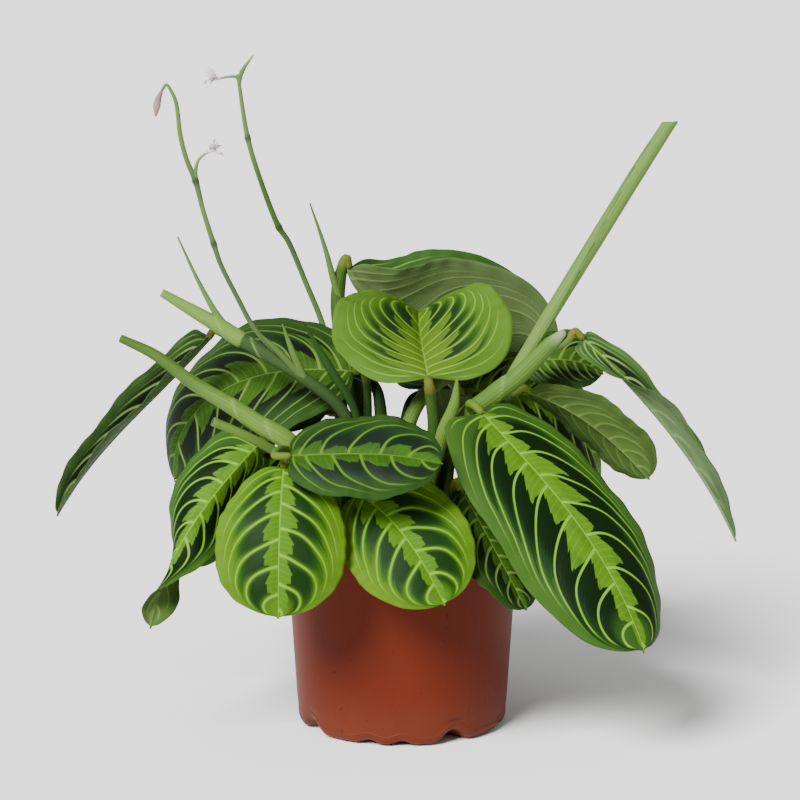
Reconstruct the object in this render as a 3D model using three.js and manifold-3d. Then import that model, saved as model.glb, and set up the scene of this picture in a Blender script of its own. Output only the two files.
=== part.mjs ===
// Potted prayer plant: a plastic nursery pot with its soil, the shoots that stand in it, the leaf blades,
// a young leaf still rolled up, and two thin flower stalks. Millimetres, +Z up, the viewer on -Y.
// The origin is the centre of the pot's base.

import * as THREE from 'three';
import { mergeVertices } from 'three/addons/utils/BufferGeometryUtils.js';
import Module from 'manifold-3d';

const wasm = await Module();
wasm.setup();

// Driving dimensions of the pot.
const POT_HEIGHT = 108;
const POT_FOOT_RADIUS = 51.4;
const POT_TAPER = 0.0645;
const POT_WALL = 1.6;
const RIM_RADIUS = 60;
const RIM_DROP = 5;
const FLAT_RADIUS = 34;
const CONTACT_RADIUS = 45.5;
const CORNER_HEIGHT = 7;
const DEEP_NOTCH = 6;
const SHALLOW_NOTCH = 2;
const NOTCH_FADE = 14;

// Driving dimensions of the soil and the plant.
const SOIL_TOP = 96;
const SOIL_BUMP = 0.8;
const ROOT = 74;
const CLEARANCE = 0.3;
const BLADE_THICKNESS = 0.8;
const PETAL_THICKNESS = 0.6;
const BASE_HALF_WIDTH = 1;
const TIP_HALF_WIDTH = 0.4;
const PETIOLE_GAP = 0.95;
const PETIOLE_LEAD = 4;

// How finely curved shapes are cut into facets.
const ROUND_SEGMENTS = 48;
const BLADE_ROWS = 10;
const BLADE_HALF_COLUMNS = 3;
const HIDDEN_HALF_COLUMNS = 2;
const PETAL_ROWS = 3;
const SPINE_STEPS = 64;
const STEPS_PER_SPAN = 2;
const THICK_STEM = 3.5;

const COLOR = {
  pot: 0x87371f,
  soil: 0x33241a,
  darkLeaf: 0x2d5a26,
  limeLeaf: 0x86ad3a,
  blueLeaf: 0x2f5a48,
  stem: 0x5c8443,
  paleStem: 0x96b46e,
  petal: 0xe9e2f0,
};

// Leaf blades. Angles are in degrees; one value holds for the whole rib, three are its base, middle and tip.
// Heading 0 points along +X and 90 away from the viewer, pitch is the rise, a positive roll lifts the side
// on the right of the rib, fold lifts both halves, crease only the left one, and curl bends them on.
const LEAVES = {
  front_left: {
    color: 'limeLeaf', base: [-55.5, -66, 140.5], length: 75, width: 64,
    heading: -93, pitch: [-35, -66, -88], fold: 4, curl: [-30, -36, -30], belly: 0.55,
  },
  front_middle: {
    color: 'limeLeaf', base: [-22, -60, 127], length: 73, width: 60,
    heading: -40, pitch: [-15, -42, -58], roll: [-45, -42, -35], fold: 4, curl: -25,
  },
  middle: {
    color: 'blueLeaf', base: [-52, -74, 147.5], length: 72, width: 47,
    heading: -8, pitch: [4, 0, -14], roll: -46, fold: 6, curl: -24,
  },
  right_large: {
    color: 'darkLeaf', base: [38, -34, 161], length: 142, width: 75,
    heading: [-36, -38, -54], pitch: [-38, -45, -62], roll: [-12, -20, -4], fold: 2,
    curl: [-14, -24, -50], belly: 0.46, blunt: 3.2, lobe: 9, uneven: 0.08,
  },
  right_back: {
    color: 'darkLeaf', base: [63, -5, 166.5], length: 74, width: 38,
    heading: 0, pitch: [-19, -38, -50], roll: [40, 45, 50], fold: 4, curl: 10, belly: 0.56,
    wave: 1, lobe: 1,
  },
  right_small: {
    color: 'darkLeaf', base: [59, 8, 179], length: 42, width: 40,
    heading: [5, 0, 0], pitch: [8, -5, -40], roll: -40, fold: 5, curl: -10, lobe: 1,
  },
  far_right: {
    color: 'darkLeaf', base: [87, -20, 195], length: 125, width: 21,
    heading: [-2, -5, -8], pitch: [-42, -52, -66], roll: [-50, 10, 60], fold: [-20, 60, 60],
    curl: [0, 15, 20], belly: 0.32, blunt: 1.8,
  },
  top_back: {
    color: 'darkLeaf', base: [-27, 58, 220], length: 118, width: 86,
    heading: [0, 8, 0], pitch: [-76, -14, -64], roll: [2, -2, 8], fold: [35, 64, 62],
    curl: [0, 10, 10], belly: 0.54, wave: 0.5, lobe: 4,
  },
  heart: {
    color: 'limeLeaf', base: [12.5, -24, 176], length: 82, width: 94,
    heading: [94, 93, 92], pitch: [20, 11, 30], roll: [0, 4, 0], fold: [8, 32, 45],
    curl: [-30, -20, 0],
  },
  back_left: {
    color: 'darkLeaf', base: [-24, 15, 173.5], length: 124, width: 88,
    heading: [178, 174, 172], pitch: [4, -26, -100], roll: [32, 38, 36], fold: [8, 4, -5],
    curl: [-10, -25, -30],
  },
  far_left: {
    color: 'darkLeaf', base: [-95.5, 8, 191], length: 116, width: 26,
    heading: [184, 186, 188], pitch: [-50, -46, -62], roll: [40, 45, 45], fold: [40, 50, 50],
    curl: 30, belly: 0.42,
  },
  left_low: {
    color: 'darkLeaf', base: [-69.5, -30, 144.5], length: 104, width: 44,
    heading: -148, pitch: [-40, -52, -80], roll: [25, 12, -150], fold: 0, crease: [-80, -50, 0],
    curl: [-20, -30, -10], belly: 0.3, blunt: 1.4, uneven: 0.15, lobe: 5,
  },
  left_behind: {
    color: 'darkLeaf', hidden: true, base: [-41.5, 4, 142], length: 94, width: 54,
    heading: [192, 196, 200], pitch: [-10, -45, -75], roll: [8, 4, 10], fold: -5, curl: -20, lobe: 2,
  },
  right_low: {
    color: 'darkLeaf', base: [28.5, -46, 125.5], length: 66, width: 44,
    heading: [-44, -42, -38], pitch: [-50, -52, -56], fold: 5, curl: -20, lobe: 1,
  },
  right_low_back: {
    color: 'darkLeaf', hidden: true, base: [36, -10, 135], length: 84, width: 44,
    heading: -25, pitch: [-5, -46, -70], roll: -20, fold: -5, curl: -20, lobe: 1,
  },
  rear_left_high: {
    color: 'darkLeaf', hidden: true, base: [-46, 42, 172], length: 90, width: 66,
    heading: [160, 156, 150], pitch: [8, -16, -80], roll: [20, 30, 20], fold: 8, curl: -30,
  },
  rear_right_high: {
    color: 'darkLeaf', hidden: true, base: [35, 29, 161], length: 90, width: 68,
    heading: 8, pitch: [8, -35, -80], roll: [-34, -38, -15], fold: 8, curl: -30,
  },
  rear_middle: {
    color: 'darkLeaf', hidden: true, base: [15, 36, 162], length: 124, width: 68,
    heading: [72, 68, 62], pitch: [15, -28, -85], fold: 8, curl: -30,
  },
  rear_left_mid: {
    color: 'darkLeaf', hidden: true, base: [-4, 44, 140], length: 112, width: 62,
    heading: [106, 110, 114], pitch: [-5, -40, -80], fold: 6, curl: -30,
  },
  rear_left_low: {
    color: 'darkLeaf', hidden: true, base: [-37, 31, 150], length: 104, width: 64,
    heading: [160, 156, 154], pitch: [10, -50, -82], roll: [10, 5, 0], fold: 4, curl: -30, lobe: 1,
  },
  rear_right_low: {
    color: 'darkLeaf', hidden: true, base: [36, 34, 130], length: 98, width: 60,
    heading: [45, 42, 40], pitch: [5, -50, -80], fold: 4, curl: -30,
  },
  rear_low: {
    color: 'darkLeaf', hidden: true, base: [-2, 50, 126], length: 92, width: 62,
    heading: [92, 95, 95], pitch: [0, -50, -85], fold: 4, curl: -30,
  },
  right_side: {
    color: 'darkLeaf', hidden: true, base: [55, 10, 124], length: 76, width: 47,
    heading: 13, pitch: [0, -50, -78], fold: 4, curl: -25, lobe: 2,
  },
};

// Shoots: each node is fused from the tubes listed under it. A tube that names a leaf ends at its rib.
const SHOOTS = {
  shoot_left: { color: 'paleStem', tubes: [
    {
      path: [
        [-136, -14, 194], [-119.5, -17, 186.5], [-101, -21, 173.5], [-82.5, -26, 163], [-67.5, -30, 154],
        [-53, -33, 145.5], [-36, -26, 118], [-30, -20, 98], [-28, -18, ROOT],
      ],
      radii: [2, 2.7, 3.4, 4, 4.3, 4.5, 4, 4, 4],
    },
    {
      path: [[-89, -56, 160.5], [-72, -52, 152], [-56.5, -44, 142], [-49, -32, 136.5]],
      radii: [2.2, 2.3, 2.2, 2],
    },
    { path: [[-57.5, -32, 148]], leaf: 'left_low', radii: [2, 1.6, 1.4] },
    { path: [[-50, -34, 139], [-53, -48, 141]], leaf: 'front_left', radii: [2, 1.7, 1.5, 1.4] },
    {
      path: [[-51, -36, 142], [-57.5, -56, 147.5], [-59.5, -70, 147]], leaf: 'middle',
      radii: [2, 1.7, 1.6, 1.4, 1.2],
    },
  ] },
  shoot_upper_left: { color: 'stem', tubes: [
    {
      path: [[-116, -12, 216], [-102.5, -12, 208], [-90.5, -12, 201], [-78.5, -12, 193.5]],
      radii: [2, 3, 3.8, 4],
    },
    {
      path: [
        [-80, -12, 194.5], [-68, -14, 187.5], [-49.5, -17, 176.5], [-27.5, -15, 156.5], [-22, -8, 128],
        [-15, -1, 98], [-14, 0, ROOT],
      ],
      radii: [3.6, 3.4, 3, 3, 3.2, 3.4, 3.4],
    },
    { path: [[-75.5, -10, 190], [-83, -2, 191]], leaf: 'far_left', radii: [2, 1.8, 1.6, 1.5] },
    {
      path: [[-108, -12, 243], [-98.5, -12, 222], [-89, -12, 204.5], [-79.5, -12, 193]],
      radii: [0.4, 1, 1.7, 2],
    },
    { path: [[-69.5, -20.5, 198], [-59, -20.5, 188], [-48.5, -18, 176]], radii: [0.4, 1.6, 2] },
    { path: [[-57.5, -20, 201.5], [-53, -20.5, 189], [-47.5, -18, 175.5]], radii: [0.4, 1.6, 2] },
    {
      path: [[-47.5, -20, 202.5], [-35.5, -20, 181.5], [-22.5, -17, 157.5], [-21, -9, 124]],
      radii: [0.4, 2.2, 2, 1.5],
    },
  ] },
  flower_stalk_left: { color: 'stem', tubes: [
    {
      path: [
        [-52, -15.5, 178.5], [-70.5, -15.5, 198], [-79.5, -16, 214.5], [-87.5, -16, 231], [-90.5, -15, 240],
        [-95.5, -14, 256], [-99, -13, 270], [-103, -12, 279.5], [-106, -12, 291], [-108, -12, 307.5],
        [-110.5, -12, 313.5], [-112.5, -12, 316], [-114.5, -12, 313.5],
      ],
      radii: [1.4, 1.3, 1.2, 1.2, 1.3, 1.2, 1.4, 1.2, 1.2, 1, 0.8, 0.7, 0.7],
    },
    {
      path: [[-98.5, -13, 269.5], [-99, -13, 274.5], [-97.5, -13, 280], [-94.5, -13, 283]],
      radii: [1.1, 1, 0.7, 0.6],
    },
  ] },
  flower_stalk_right: { color: 'stem', tubes: [
    {
      path: [
        [-17, 26, ROOT], [-18, 28, 98], [-32.5, 50, 163.5], [-41, 58, 192.5], [-49, 56, 213],
        [-57.5, 50, 234.5], [-62, 49, 241.5], [-70.5, 47, 264], [-77, 45, 286.5], [-81.5, 43, 317.5],
      ],
      radii: [1.8, 1.8, 1.6, 1.5, 1.4, 1.4, 1.5, 1.3, 1.3, 0.9],
    },
    {
      path: [[-81, 43, 315.5], [-82.5, 43, 317], [-86.5, 43, 317], [-89.5, 43, 316.5]],
      radii: [0.9, 0.8, 0.6, 0.6],
    },
    { path: [[-81, 43, 313.5], [-79.5, 43, 319.5], [-74, 43, 327.5]], radii: [0.9, 1.2, 0.4] },
  ] },
  shoot_top_back: { color: 'stem', tubes: [
    {
      path: [[-8, 22, ROOT], [-9, 24, 98], [-20, 40, 150], [-32, 56, 192.5], [-32, 59, 212.5]],
      leaf: 'top_back', radii: [3.6, 3.6, 3.8, 3.8, 3.6, 2, 1.8],
    },
    {
      path: [[-46.5, 55, 253], [-39, 55, 230.5], [-35, 56, 215], [-31.5, 57, 203.5]],
      radii: [0.4, 1.2, 1.8, 2],
    },
  ] },
  shoot_centre: { color: 'stem', tubes: [
    {
      path: [[8, -10, ROOT], [9, -11, 98], [13, -15, 125], [15.5, -21, 151.5], [14, -25, 166.5]],
      leaf: 'heart', radii: [3.6, 3.6, 3.4, 3.2, 3, 1.9, 1.8],
    },
    {
      path: [[12, -12, 110], [20, -25, 150], [25, -27, 163.5], [26.5, -27, 177.5]],
      radii: [3, 3.4, 2.8, 0.4],
    },
  ] },
  shoot_rear_right: { color: 'paleStem', tubes: [
    {
      path: [[0, 2, ROOT], [0, 0, 98], [2.5, -6, 147.5], [10, -2, 163], [22, 12, 170]],
      leaf: 'rear_right_high', radii: [3.6, 3.6, 3.6, 3.4, 3, 1.8, 1.7],
    },
  ] },
  shoot_rear_middle: { color: 'stem', tubes: [
    {
      path: [[-1, 14, ROOT], [-1, 14, 98], [1, 12, 147], [4.5, 16, 159]],
      leaf: 'rear_middle', radii: [2.6, 2.6, 2.4, 2.2, 1.9, 1.8],
    },
  ] },
  shoot_rear_left: { color: 'stem', tubes: [
    {
      path: [[-11, 10, ROOT], [-11, 11, 98], [-10.5, 16, 151.5], [-14, 22, 165.5], [-30, 34, 171]],
      leaf: 'rear_left_high', radii: [3.2, 3.2, 3.2, 2.6, 1.9, 1.7, 1.5],
    },
    {
      path: [[-11, 10, ROOT], [-10, 14, 98], [-5, 30, 125]], leaf: 'rear_left_mid',
      radii: [2, 2, 2, 1.8, 1.6],
    },
  ] },
  shoot_back_left: { color: 'stem', tubes: [
    {
      path: [[-19, 12, ROOT], [-19, 12, 98], [-17, 14, 140]], leaf: 'back_left',
      radii: [2.4, 2.4, 2.2, 1.8, 1.6],
    },
  ] },
  shoot_right: { color: 'paleStem', tubes: [
    {
      path: [
        [19, 0, ROOT], [20, -2, 98], [25.5, -16, 149.5], [44.5, -20, 167.5], [55, -22, 176], [71, -22, 192],
        [77, -22, 197.5],
      ],
      radii: [4, 4.4, 4.5, 4.6, 4.6, 3.8, 2],
    },
    { path: [[69, -22, 188.5], [79, -21, 193.5]], leaf: 'far_right', radii: [2, 1.7, 1.5, 1.4] },
    { path: [[35, -18, 156.5], [32.5, -27, 164]], leaf: 'right_large', radii: [2.2, 2, 1.7, 1.6] },
  ] },
  rolled_leaf_right: { color: 'paleStem', tubes: [
    {
      path: [[53, -20, 176], [69, -19, 202.5], [95, -14, 244.5], [114, -12, 275.5], [128.5, -10, 298]],
      radii: [3.4, 3.9, 4, 3.9, 3.4],
    },
  ] },
  shoot_front: { color: 'stem', tubes: [
    {
      path: [[-16, -36, ROOT], [-16, -37, 98], [-17, -42, 118]], leaf: 'front_middle',
      radii: [2, 2, 1.8, 1.6, 1.5],
    },
  ] },
  shoot_front_right: { color: 'stem', tubes: [
    {
      path: [[22, -32, ROOT], [22, -33, 98], [24, -38, 121]], leaf: 'right_low',
      radii: [2, 2, 1.8, 1.6, 1.5],
    },
    {
      path: [[22, -32, ROOT], [26, -26, 98], [30, -16, 124]], leaf: 'right_low_back',
      radii: [2, 2, 1.8, 1.6, 1.5],
    },
  ] },
  shoot_right_back: { color: 'stem', tubes: [
    {
      path: [[34, 6, ROOT], [35, 6, 98], [42, 1, 145]], leaf: 'right_back',
      radii: [2.4, 2.4, 2.2, 1.7, 1.5],
    },
    {
      path: [[34, 6, ROOT], [35, 8, 98], [42, 12, 140]], leaf: 'right_small',
      radii: [2.4, 2.4, 2, 1.6, 1.4],
    },
  ] },
  shoot_left_behind: { color: 'stem', tubes: [
    {
      path: [[-30, 4, ROOT], [-31, 4, 98], [-32, 5, 135]], leaf: 'left_behind',
      radii: [2, 2, 1.8, 1.6, 1.5],
    },
  ] },
  shoot_rear_left_low: { color: 'stem', tubes: [
    { path: [[-28, 24, ROOT], [-28, 25, 98]], leaf: 'rear_left_low', radii: [2, 2, 1.6, 1.5] },
  ] },
  shoot_rear_right_low: { color: 'stem', tubes: [
    { path: [[26, 26, ROOT], [27, 26, 98]], leaf: 'rear_right_low', radii: [2, 2, 1.6, 1.5] },
  ] },
  shoot_rear_low: { color: 'stem', tubes: [
    { path: [[0, 38, ROOT], [0, 39, 98]], leaf: 'rear_low', radii: [2, 2, 1.6, 1.5] },
  ] },
  shoot_right_side: { color: 'stem', tubes: [
    { path: [[40, -8, ROOT], [41, -7, 98]], leaf: 'right_side', radii: [2, 2, 1.6, 1.5] },
  ] },
};

// What grows out of the side of another shoot.
const CARRIED_BY = { rolled_leaf_right: 'shoot_right', flower_stalk_left: 'shoot_upper_left' };

// Flowers: a throat that starts just past the stalk's end, and petals round its mouth. The bud is closed.
const FLOWERS = {
  flower_left_open: {
    throat: [[-94, -13, 283.3], [-92.5, -13, 284.2], [-90.5, -13.5, 285]], radii: [0.6, 0.9, 1.2],
    turn: 20, petal: { length: 6, width: 4.4, spread: 50 }, petals: 5,
  },
  flower_right_open: {
    throat: [[-90.1, 43, 316.4], [-92, 43, 316.2], [-94, 42.5, 316.4]], radii: [0.6, 0.9, 1.2],
    turn: 60, petal: { length: 6.5, width: 4.6, spread: 55 }, petals: 5,
  },
  flower_left_bud: {
    throat: [[-114.8, -12, 312.8], [-116.3, -12, 309.5], [-117.3, -12, 305.5], [-117.8, -12, 301.5]],
    radii: [0.7, 1.5, 1.9, 0.7], turn: 0, petals: 0,
  },
};

const radians = THREE.MathUtils.degToRad;
const clamp = THREE.MathUtils.clamp;
const smooth = THREE.MathUtils.smoothstep;

// A value given at the base, the middle and the tip of a rib, at the share u of its length.
function along(value, u) {
  const [base, middle, tip] = Array.isArray(value) ? value : [value, value, value];
  return base * (1 - u) * (1 - 2 * u) + 4 * middle * u * (1 - u) + tip * u * (2 * u - 1);
}

// Half width of a blade as a share of the largest: an egg-shaped super-ellipse with a short drawn-out tip.
function outline(u, belly, blunt) {
  const body = Math.min(u / 0.985, 1) ** (Math.log(0.5) / Math.log(belly));
  const power = body > 0.5 ? blunt : 2.4;
  const egg = Math.sqrt(Math.max(1 - Math.abs(2 * body - 1) ** power, 0));
  const cusp = u > 0.5 ? 0.06 * clamp((1 - u) / 0.06, 0, 1) : 0;
  return Math.max(egg, cusp);
}

// The rib's direction at u, and the blade's sideways and upward directions there.
function ribFrame(leaf, u) {
  const heading = radians(along(leaf.heading, u));
  const pitch = radians(along(leaf.pitch, u));
  const roll = radians(along(leaf.roll ?? 0, u));
  const level = Math.cos(pitch);
  const forward = new THREE.Vector3(level * Math.cos(heading), level * Math.sin(heading), Math.sin(pitch));
  const flatSide = new THREE.Vector3(Math.sin(heading), -Math.cos(heading), 0);
  const flatUp = flatSide.clone().cross(forward);
  const side = flatSide.clone().multiplyScalar(Math.cos(roll)).addScaledVector(flatUp, Math.sin(roll));
  const up = flatUp.clone().multiplyScalar(Math.cos(roll)).addScaledVector(flatSide, -Math.sin(roll));
  return { forward, side, up };
}

// Rib points at even steps, each one a step further along the mean of its two neighbouring directions.
function ribPoints(leaf) {
  const points = [new THREE.Vector3(...leaf.base)];
  for (let step = 0; step < SPINE_STEPS; step += 1) {
    const mean = ribFrame(leaf, step / SPINE_STEPS).forward;
    mean.add(ribFrame(leaf, (step + 1) / SPINE_STEPS).forward).divideScalar(2);
    points.push(points[step].clone().addScaledVector(mean, leaf.length / SPINE_STEPS));
  }
  return points;
}

// Rows of points across the blade, from its base to its tip: each half is an arc that leaves the rib at the
// fold angle and bends by the curl, with a waved margin and a lobe set back beside the petiole.
function bladeGrid(leaf, rows, halfColumns) {
  const rib = ribPoints(leaf);
  const grid = [];
  for (let row = 0; row <= rows; row += 1) {
    const even = row / rows;
    const u = 0.45 * even + 0.55 * (0.5 - 0.5 * Math.cos(Math.PI * even));
    const place = Math.min(Math.floor(u * SPINE_STEPS), SPINE_STEPS - 1);
    const center = rib[place].clone().lerp(rib[place + 1], u * SPINE_STEPS - place);
    const { side, up } = ribFrame(leaf, u);
    const ahead = up.clone().cross(side);
    const share = outline(u, leaf.belly ?? 0.5, leaf.blunt ?? 2.4);
    const ends = BASE_HALF_WIDTH * (1 - u) ** 8 + TIP_HALF_WIDTH * u ** 20;
    const half = leaf.width / 2 * share + ends;
    const curl = radians(along(leaf.curl ?? 0, u)) || 1e-4;
    const near = u / 0.05;
    const points = [];
    for (let column = -halfColumns; column <= halfColumns; column += 1) {
      const sign = Math.sign(column);
      const crease = column < 0 ? along(leaf.crease ?? 0, u) : 0;
      const fold = radians(along(leaf.fold ?? 0, u) + crease);
      const v = Math.abs(column) / halfColumns;
      const larger = 1 + (leaf.uneven ?? 0) * sign;
      const out = larger * half * (Math.sin(fold + curl * v) - Math.sin(fold)) / curl;
      const rise = half * (Math.cos(fold) - Math.cos(fold + curl * v)) / curl;
      const turn = 2 * Math.PI * ((leaf.waves ?? 2.5) * u + 0.25 * sign);
      const wave = (leaf.wave ?? 1.5) * v ** 2 * Math.sin(turn) * share;
      const back = (leaf.lobe ?? 3) * near * Math.exp(1 - near) * v ** 1.5;
      const point = center.clone().addScaledVector(side, sign * out).addScaledVector(up, rise + wave);
      points.push(point.addScaledVector(ahead, -back));
    }
    grid.push(points);
  }
  return grid;
}

// A closed blade: two faces half a thickness off the grid, split into triangles alike, and the margin.
function bladeGeometry(grid, thickness) {
  const rows = grid.length;
  const columns = grid[0].length;
  const at = (row, column) => grid[clamp(row, 0, rows - 1)][clamp(column, 0, columns - 1)];
  const positions = [];
  for (const face of [1, -1]) {
    for (let row = 0; row < rows; row += 1) {
      for (let column = 0; column < columns; column += 1) {
        const lengthwise = at(row + 1, column).clone().sub(at(row - 1, column));
        const normal = at(row, column + 1).clone().sub(at(row, column - 1)).cross(lengthwise).normalize();
        positions.push(...at(row, column).clone().addScaledVector(normal, face * thickness / 2));
      }
    }
  }
  const below = rows * columns;
  const indices = [];
  for (let row = 0; row < rows - 1; row += 1) {
    for (let column = 0; column < columns - 1; column += 1) {
      const a = row * columns + column;
      const [b, c, d] = [a + 1, a + columns + 1, a + columns];
      indices.push(a, b, c, a, c, d);
      indices.push(below + c, below + b, below + a, below + d, below + c, below + a);
    }
  }
  const margin = [];
  for (let column = 0; column < columns - 1; column += 1) margin.push(column);
  for (let row = 0; row < rows - 1; row += 1) margin.push(row * columns + columns - 1);
  for (let column = columns - 1; column > 0; column -= 1) margin.push((rows - 1) * columns + column);
  for (let row = rows - 1; row > 0; row -= 1) margin.push(row * columns);
  margin.forEach((a, place) => {
    const b = margin[(place + 1) % margin.length];
    indices.push(a, below + a, below + b, a, below + b, b);
  });
  const geometry = new THREE.BufferGeometry();
  geometry.setAttribute('position', new THREE.Float32BufferAttribute(positions, 3));
  geometry.setIndex(indices);
  return geometry;
}

// A closed tube of changing radius: a cylinder whose rings are carried along the curve through the points.
function tubeGeometry(path, radii, extra = 0) {
  const curve = new THREE.CatmullRomCurve3(path.map((point) => new THREE.Vector3(...point)));
  const steps = STEPS_PER_SPAN * (path.length - 1);
  const sides = Math.max(...radii) > THICK_STEM ? 8 : 6;
  const rings = [];
  let across = new THREE.Vector3(0, 1, 0).cross(curve.getTangent(0));
  for (let step = 0; step <= steps; step += 1) {
    const t = step / steps;
    const tangent = curve.getTangent(t);
    across = across.clone().addScaledVector(tangent, -across.dot(tangent)).normalize();
    const place = t * (radii.length - 1);
    const low = Math.min(Math.floor(place), radii.length - 2);
    const radius = THREE.MathUtils.lerp(radii[low], radii[low + 1], place - low) + extra;
    rings.push({ center: curve.getPoint(t), across, other: across.clone().cross(tangent), radius });
  }
  const geometry = new THREE.CylinderGeometry(1, 1, 1, sides, steps);
  const position = geometry.attributes.position;
  for (let vertex = 0; vertex < position.count; vertex += 1) {
    const ring = rings[Math.round((position.getY(vertex) + 0.5) * steps)];
    const point = ring.center.clone();
    point.addScaledVector(ring.across, ring.radius * position.getX(vertex));
    point.addScaledVector(ring.other, ring.radius * position.getZ(vertex));
    position.setXYZ(vertex, point.x, point.y, point.z);
  }
  return geometry;
}

// A solid for joining and cutting, from a closed geometry.
function toSolid(geometry) {
  geometry.deleteAttribute('normal');
  geometry.deleteAttribute('uv');
  const merged = mergeVertices(geometry, 1e-4);
  return new wasm.Manifold(new wasm.Mesh({
    numProp: 3,
    vertProperties: new Float32Array(merged.attributes.position.array),
    triVerts: new Uint32Array(merged.index.array),
  }));
}

function fromSolid(solid) {
  const mesh = solid.getMesh();
  const geometry = new THREE.BufferGeometry();
  geometry.setAttribute('position', new THREE.BufferAttribute(mesh.vertProperties, 3));
  geometry.setIndex(new THREE.BufferAttribute(mesh.triVerts, 1));
  geometry.computeVertexNormals();
  return geometry;
}

const fuse = (solids) => solids.reduce((joined, solid) => joined.add(solid));

// The tube's points, with the petiole's last two in line with the rib of the leaf that it carries.
function fullPath(tube) {
  if (!tube.leaf) return tube.path;
  const leaf = LEAVES[tube.leaf];
  const { forward } = ribFrame(leaf, 0);
  const base = new THREE.Vector3(...leaf.base);
  const before = (gap) => base.clone().addScaledVector(forward, -gap).toArray();
  return [...tube.path, before(PETIOLE_GAP + PETIOLE_LEAD), before(PETIOLE_GAP)];
}

const tubeSolid = (tube, extra = 0) => toSolid(tubeGeometry(fullPath(tube), tube.radii, extra));

// The hole that a rooted tube stands in: the same tube, wider and deeper by the clearance.
function holeSolid(tube) {
  const path = fullPath(tube).map(([x, y, z]) => [x, y, z === ROOT ? ROOT - CLEARANCE : z]);
  return toSolid(tubeGeometry(path, tube.radii, CLEARANCE));
}

const wallRadius = (z) => POT_FOOT_RADIUS + POT_TAPER * z;

// How far the foot is lifted at an angle from the front: four deep notches, two shallow ones between each.
function notchLift(angle) {
  const quarter = THREE.MathUtils.euclideanModulo(angle - 30, 90);
  const bump = (center, halfWidth) => {
    const away = Math.min(Math.abs(quarter - center), 90 - Math.abs(quarter - center)) / halfWidth;
    return away < 1 ? Math.cos(away * Math.PI / 2) ** 2 : 0;
  };
  return DEEP_NOTCH * bump(0, 13) + SHALLOW_NOTCH * (bump(41, 9) + bump(60, 9));
}

// Turns a profile of [radius, height] about the pot's axis and lifts the foot by the notches.
function turned(profile) {
  const geometry = new THREE.LatheGeometry(profile.map(([r, z]) => new THREE.Vector2(r, z)), ROUND_SEGMENTS);
  geometry.rotateX(Math.PI / 2);
  const position = geometry.attributes.position;
  for (let vertex = 0; vertex < position.count; vertex += 1) {
    const [x, y, z] = [position.getX(vertex), position.getY(vertex), position.getZ(vertex)];
    const angle = THREE.MathUtils.radToDeg(Math.atan2(x, -y));
    const outward = smooth(Math.hypot(x, y), FLAT_RADIUS, CONTACT_RADIUS);
    position.setZ(vertex, z + notchLift(angle) * outward * (1 - smooth(z, CORNER_HEIGHT, NOTCH_FADE)));
  }
  return geometry;
}

function potSolid() {
  const inner = (z) => wallRadius(z) - POT_WALL;
  return toSolid(turned([
    [0, 0], [FLAT_RADIUS, 0], [40, 0], [CONTACT_RADIUS, 0], [49.9, 2.2],
    [wallRadius(CORNER_HEIGHT), CORNER_HEIGHT], [wallRadius(NOTCH_FADE), NOTCH_FADE],
    [wallRadius(POT_HEIGHT - RIM_DROP), POT_HEIGHT - RIM_DROP], [RIM_RADIUS, POT_HEIGHT - RIM_DROP],
    [RIM_RADIUS, POT_HEIGHT], [inner(POT_HEIGHT), POT_HEIGHT],
    [inner(NOTCH_FADE), NOTCH_FADE], [inner(CORNER_HEIGHT), CORNER_HEIGHT], [48.2, 3.4],
    [44.5, POT_WALL], [40, POT_WALL], [FLAT_RADIUS, POT_WALL], [0, POT_WALL],
  ]));
}

// The soil fills the pot to just below its rim and is pierced where the shoots stand.
function soilSolid() {
  const inner = (z) => wallRadius(z) - POT_WALL - CLEARANCE;
  const floor = POT_WALL + CLEARANCE;
  const edge = SOIL_TOP - 2;
  const geometry = turned([
    [0, floor], [30, floor], [FLAT_RADIUS, floor + 0.8], [40, floor + 0.8], [44.5, floor + 0.8], [47, 4.8],
    [inner(CORNER_HEIGHT) - CLEARANCE, CORNER_HEIGHT + CLEARANCE],
    [inner(NOTCH_FADE), NOTCH_FADE + CLEARANCE], [inner(edge), edge],
    [42, SOIL_TOP - 0.4], [24, SOIL_TOP + 0.4], [0, SOIL_TOP + 0.8],
  ]);
  const position = geometry.attributes.position;
  for (let vertex = 0; vertex < position.count; vertex += 1) {
    const [x, y, z] = [position.getX(vertex), position.getY(vertex), position.getZ(vertex)];
    if (z > edge + 0.1) position.setZ(vertex, z + SOIL_BUMP * Math.sin(x * 0.31) * Math.cos(y * 0.27));
  }
  const tubes = Object.values(SHOOTS).flatMap((shoot) => shoot.tubes);
  const rooted = tubes.filter((tube) => tube.path.some((point) => point[2] === ROOT));
  return toSolid(geometry).subtract(fuse(rooted.map(holeSolid)));
}

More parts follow.
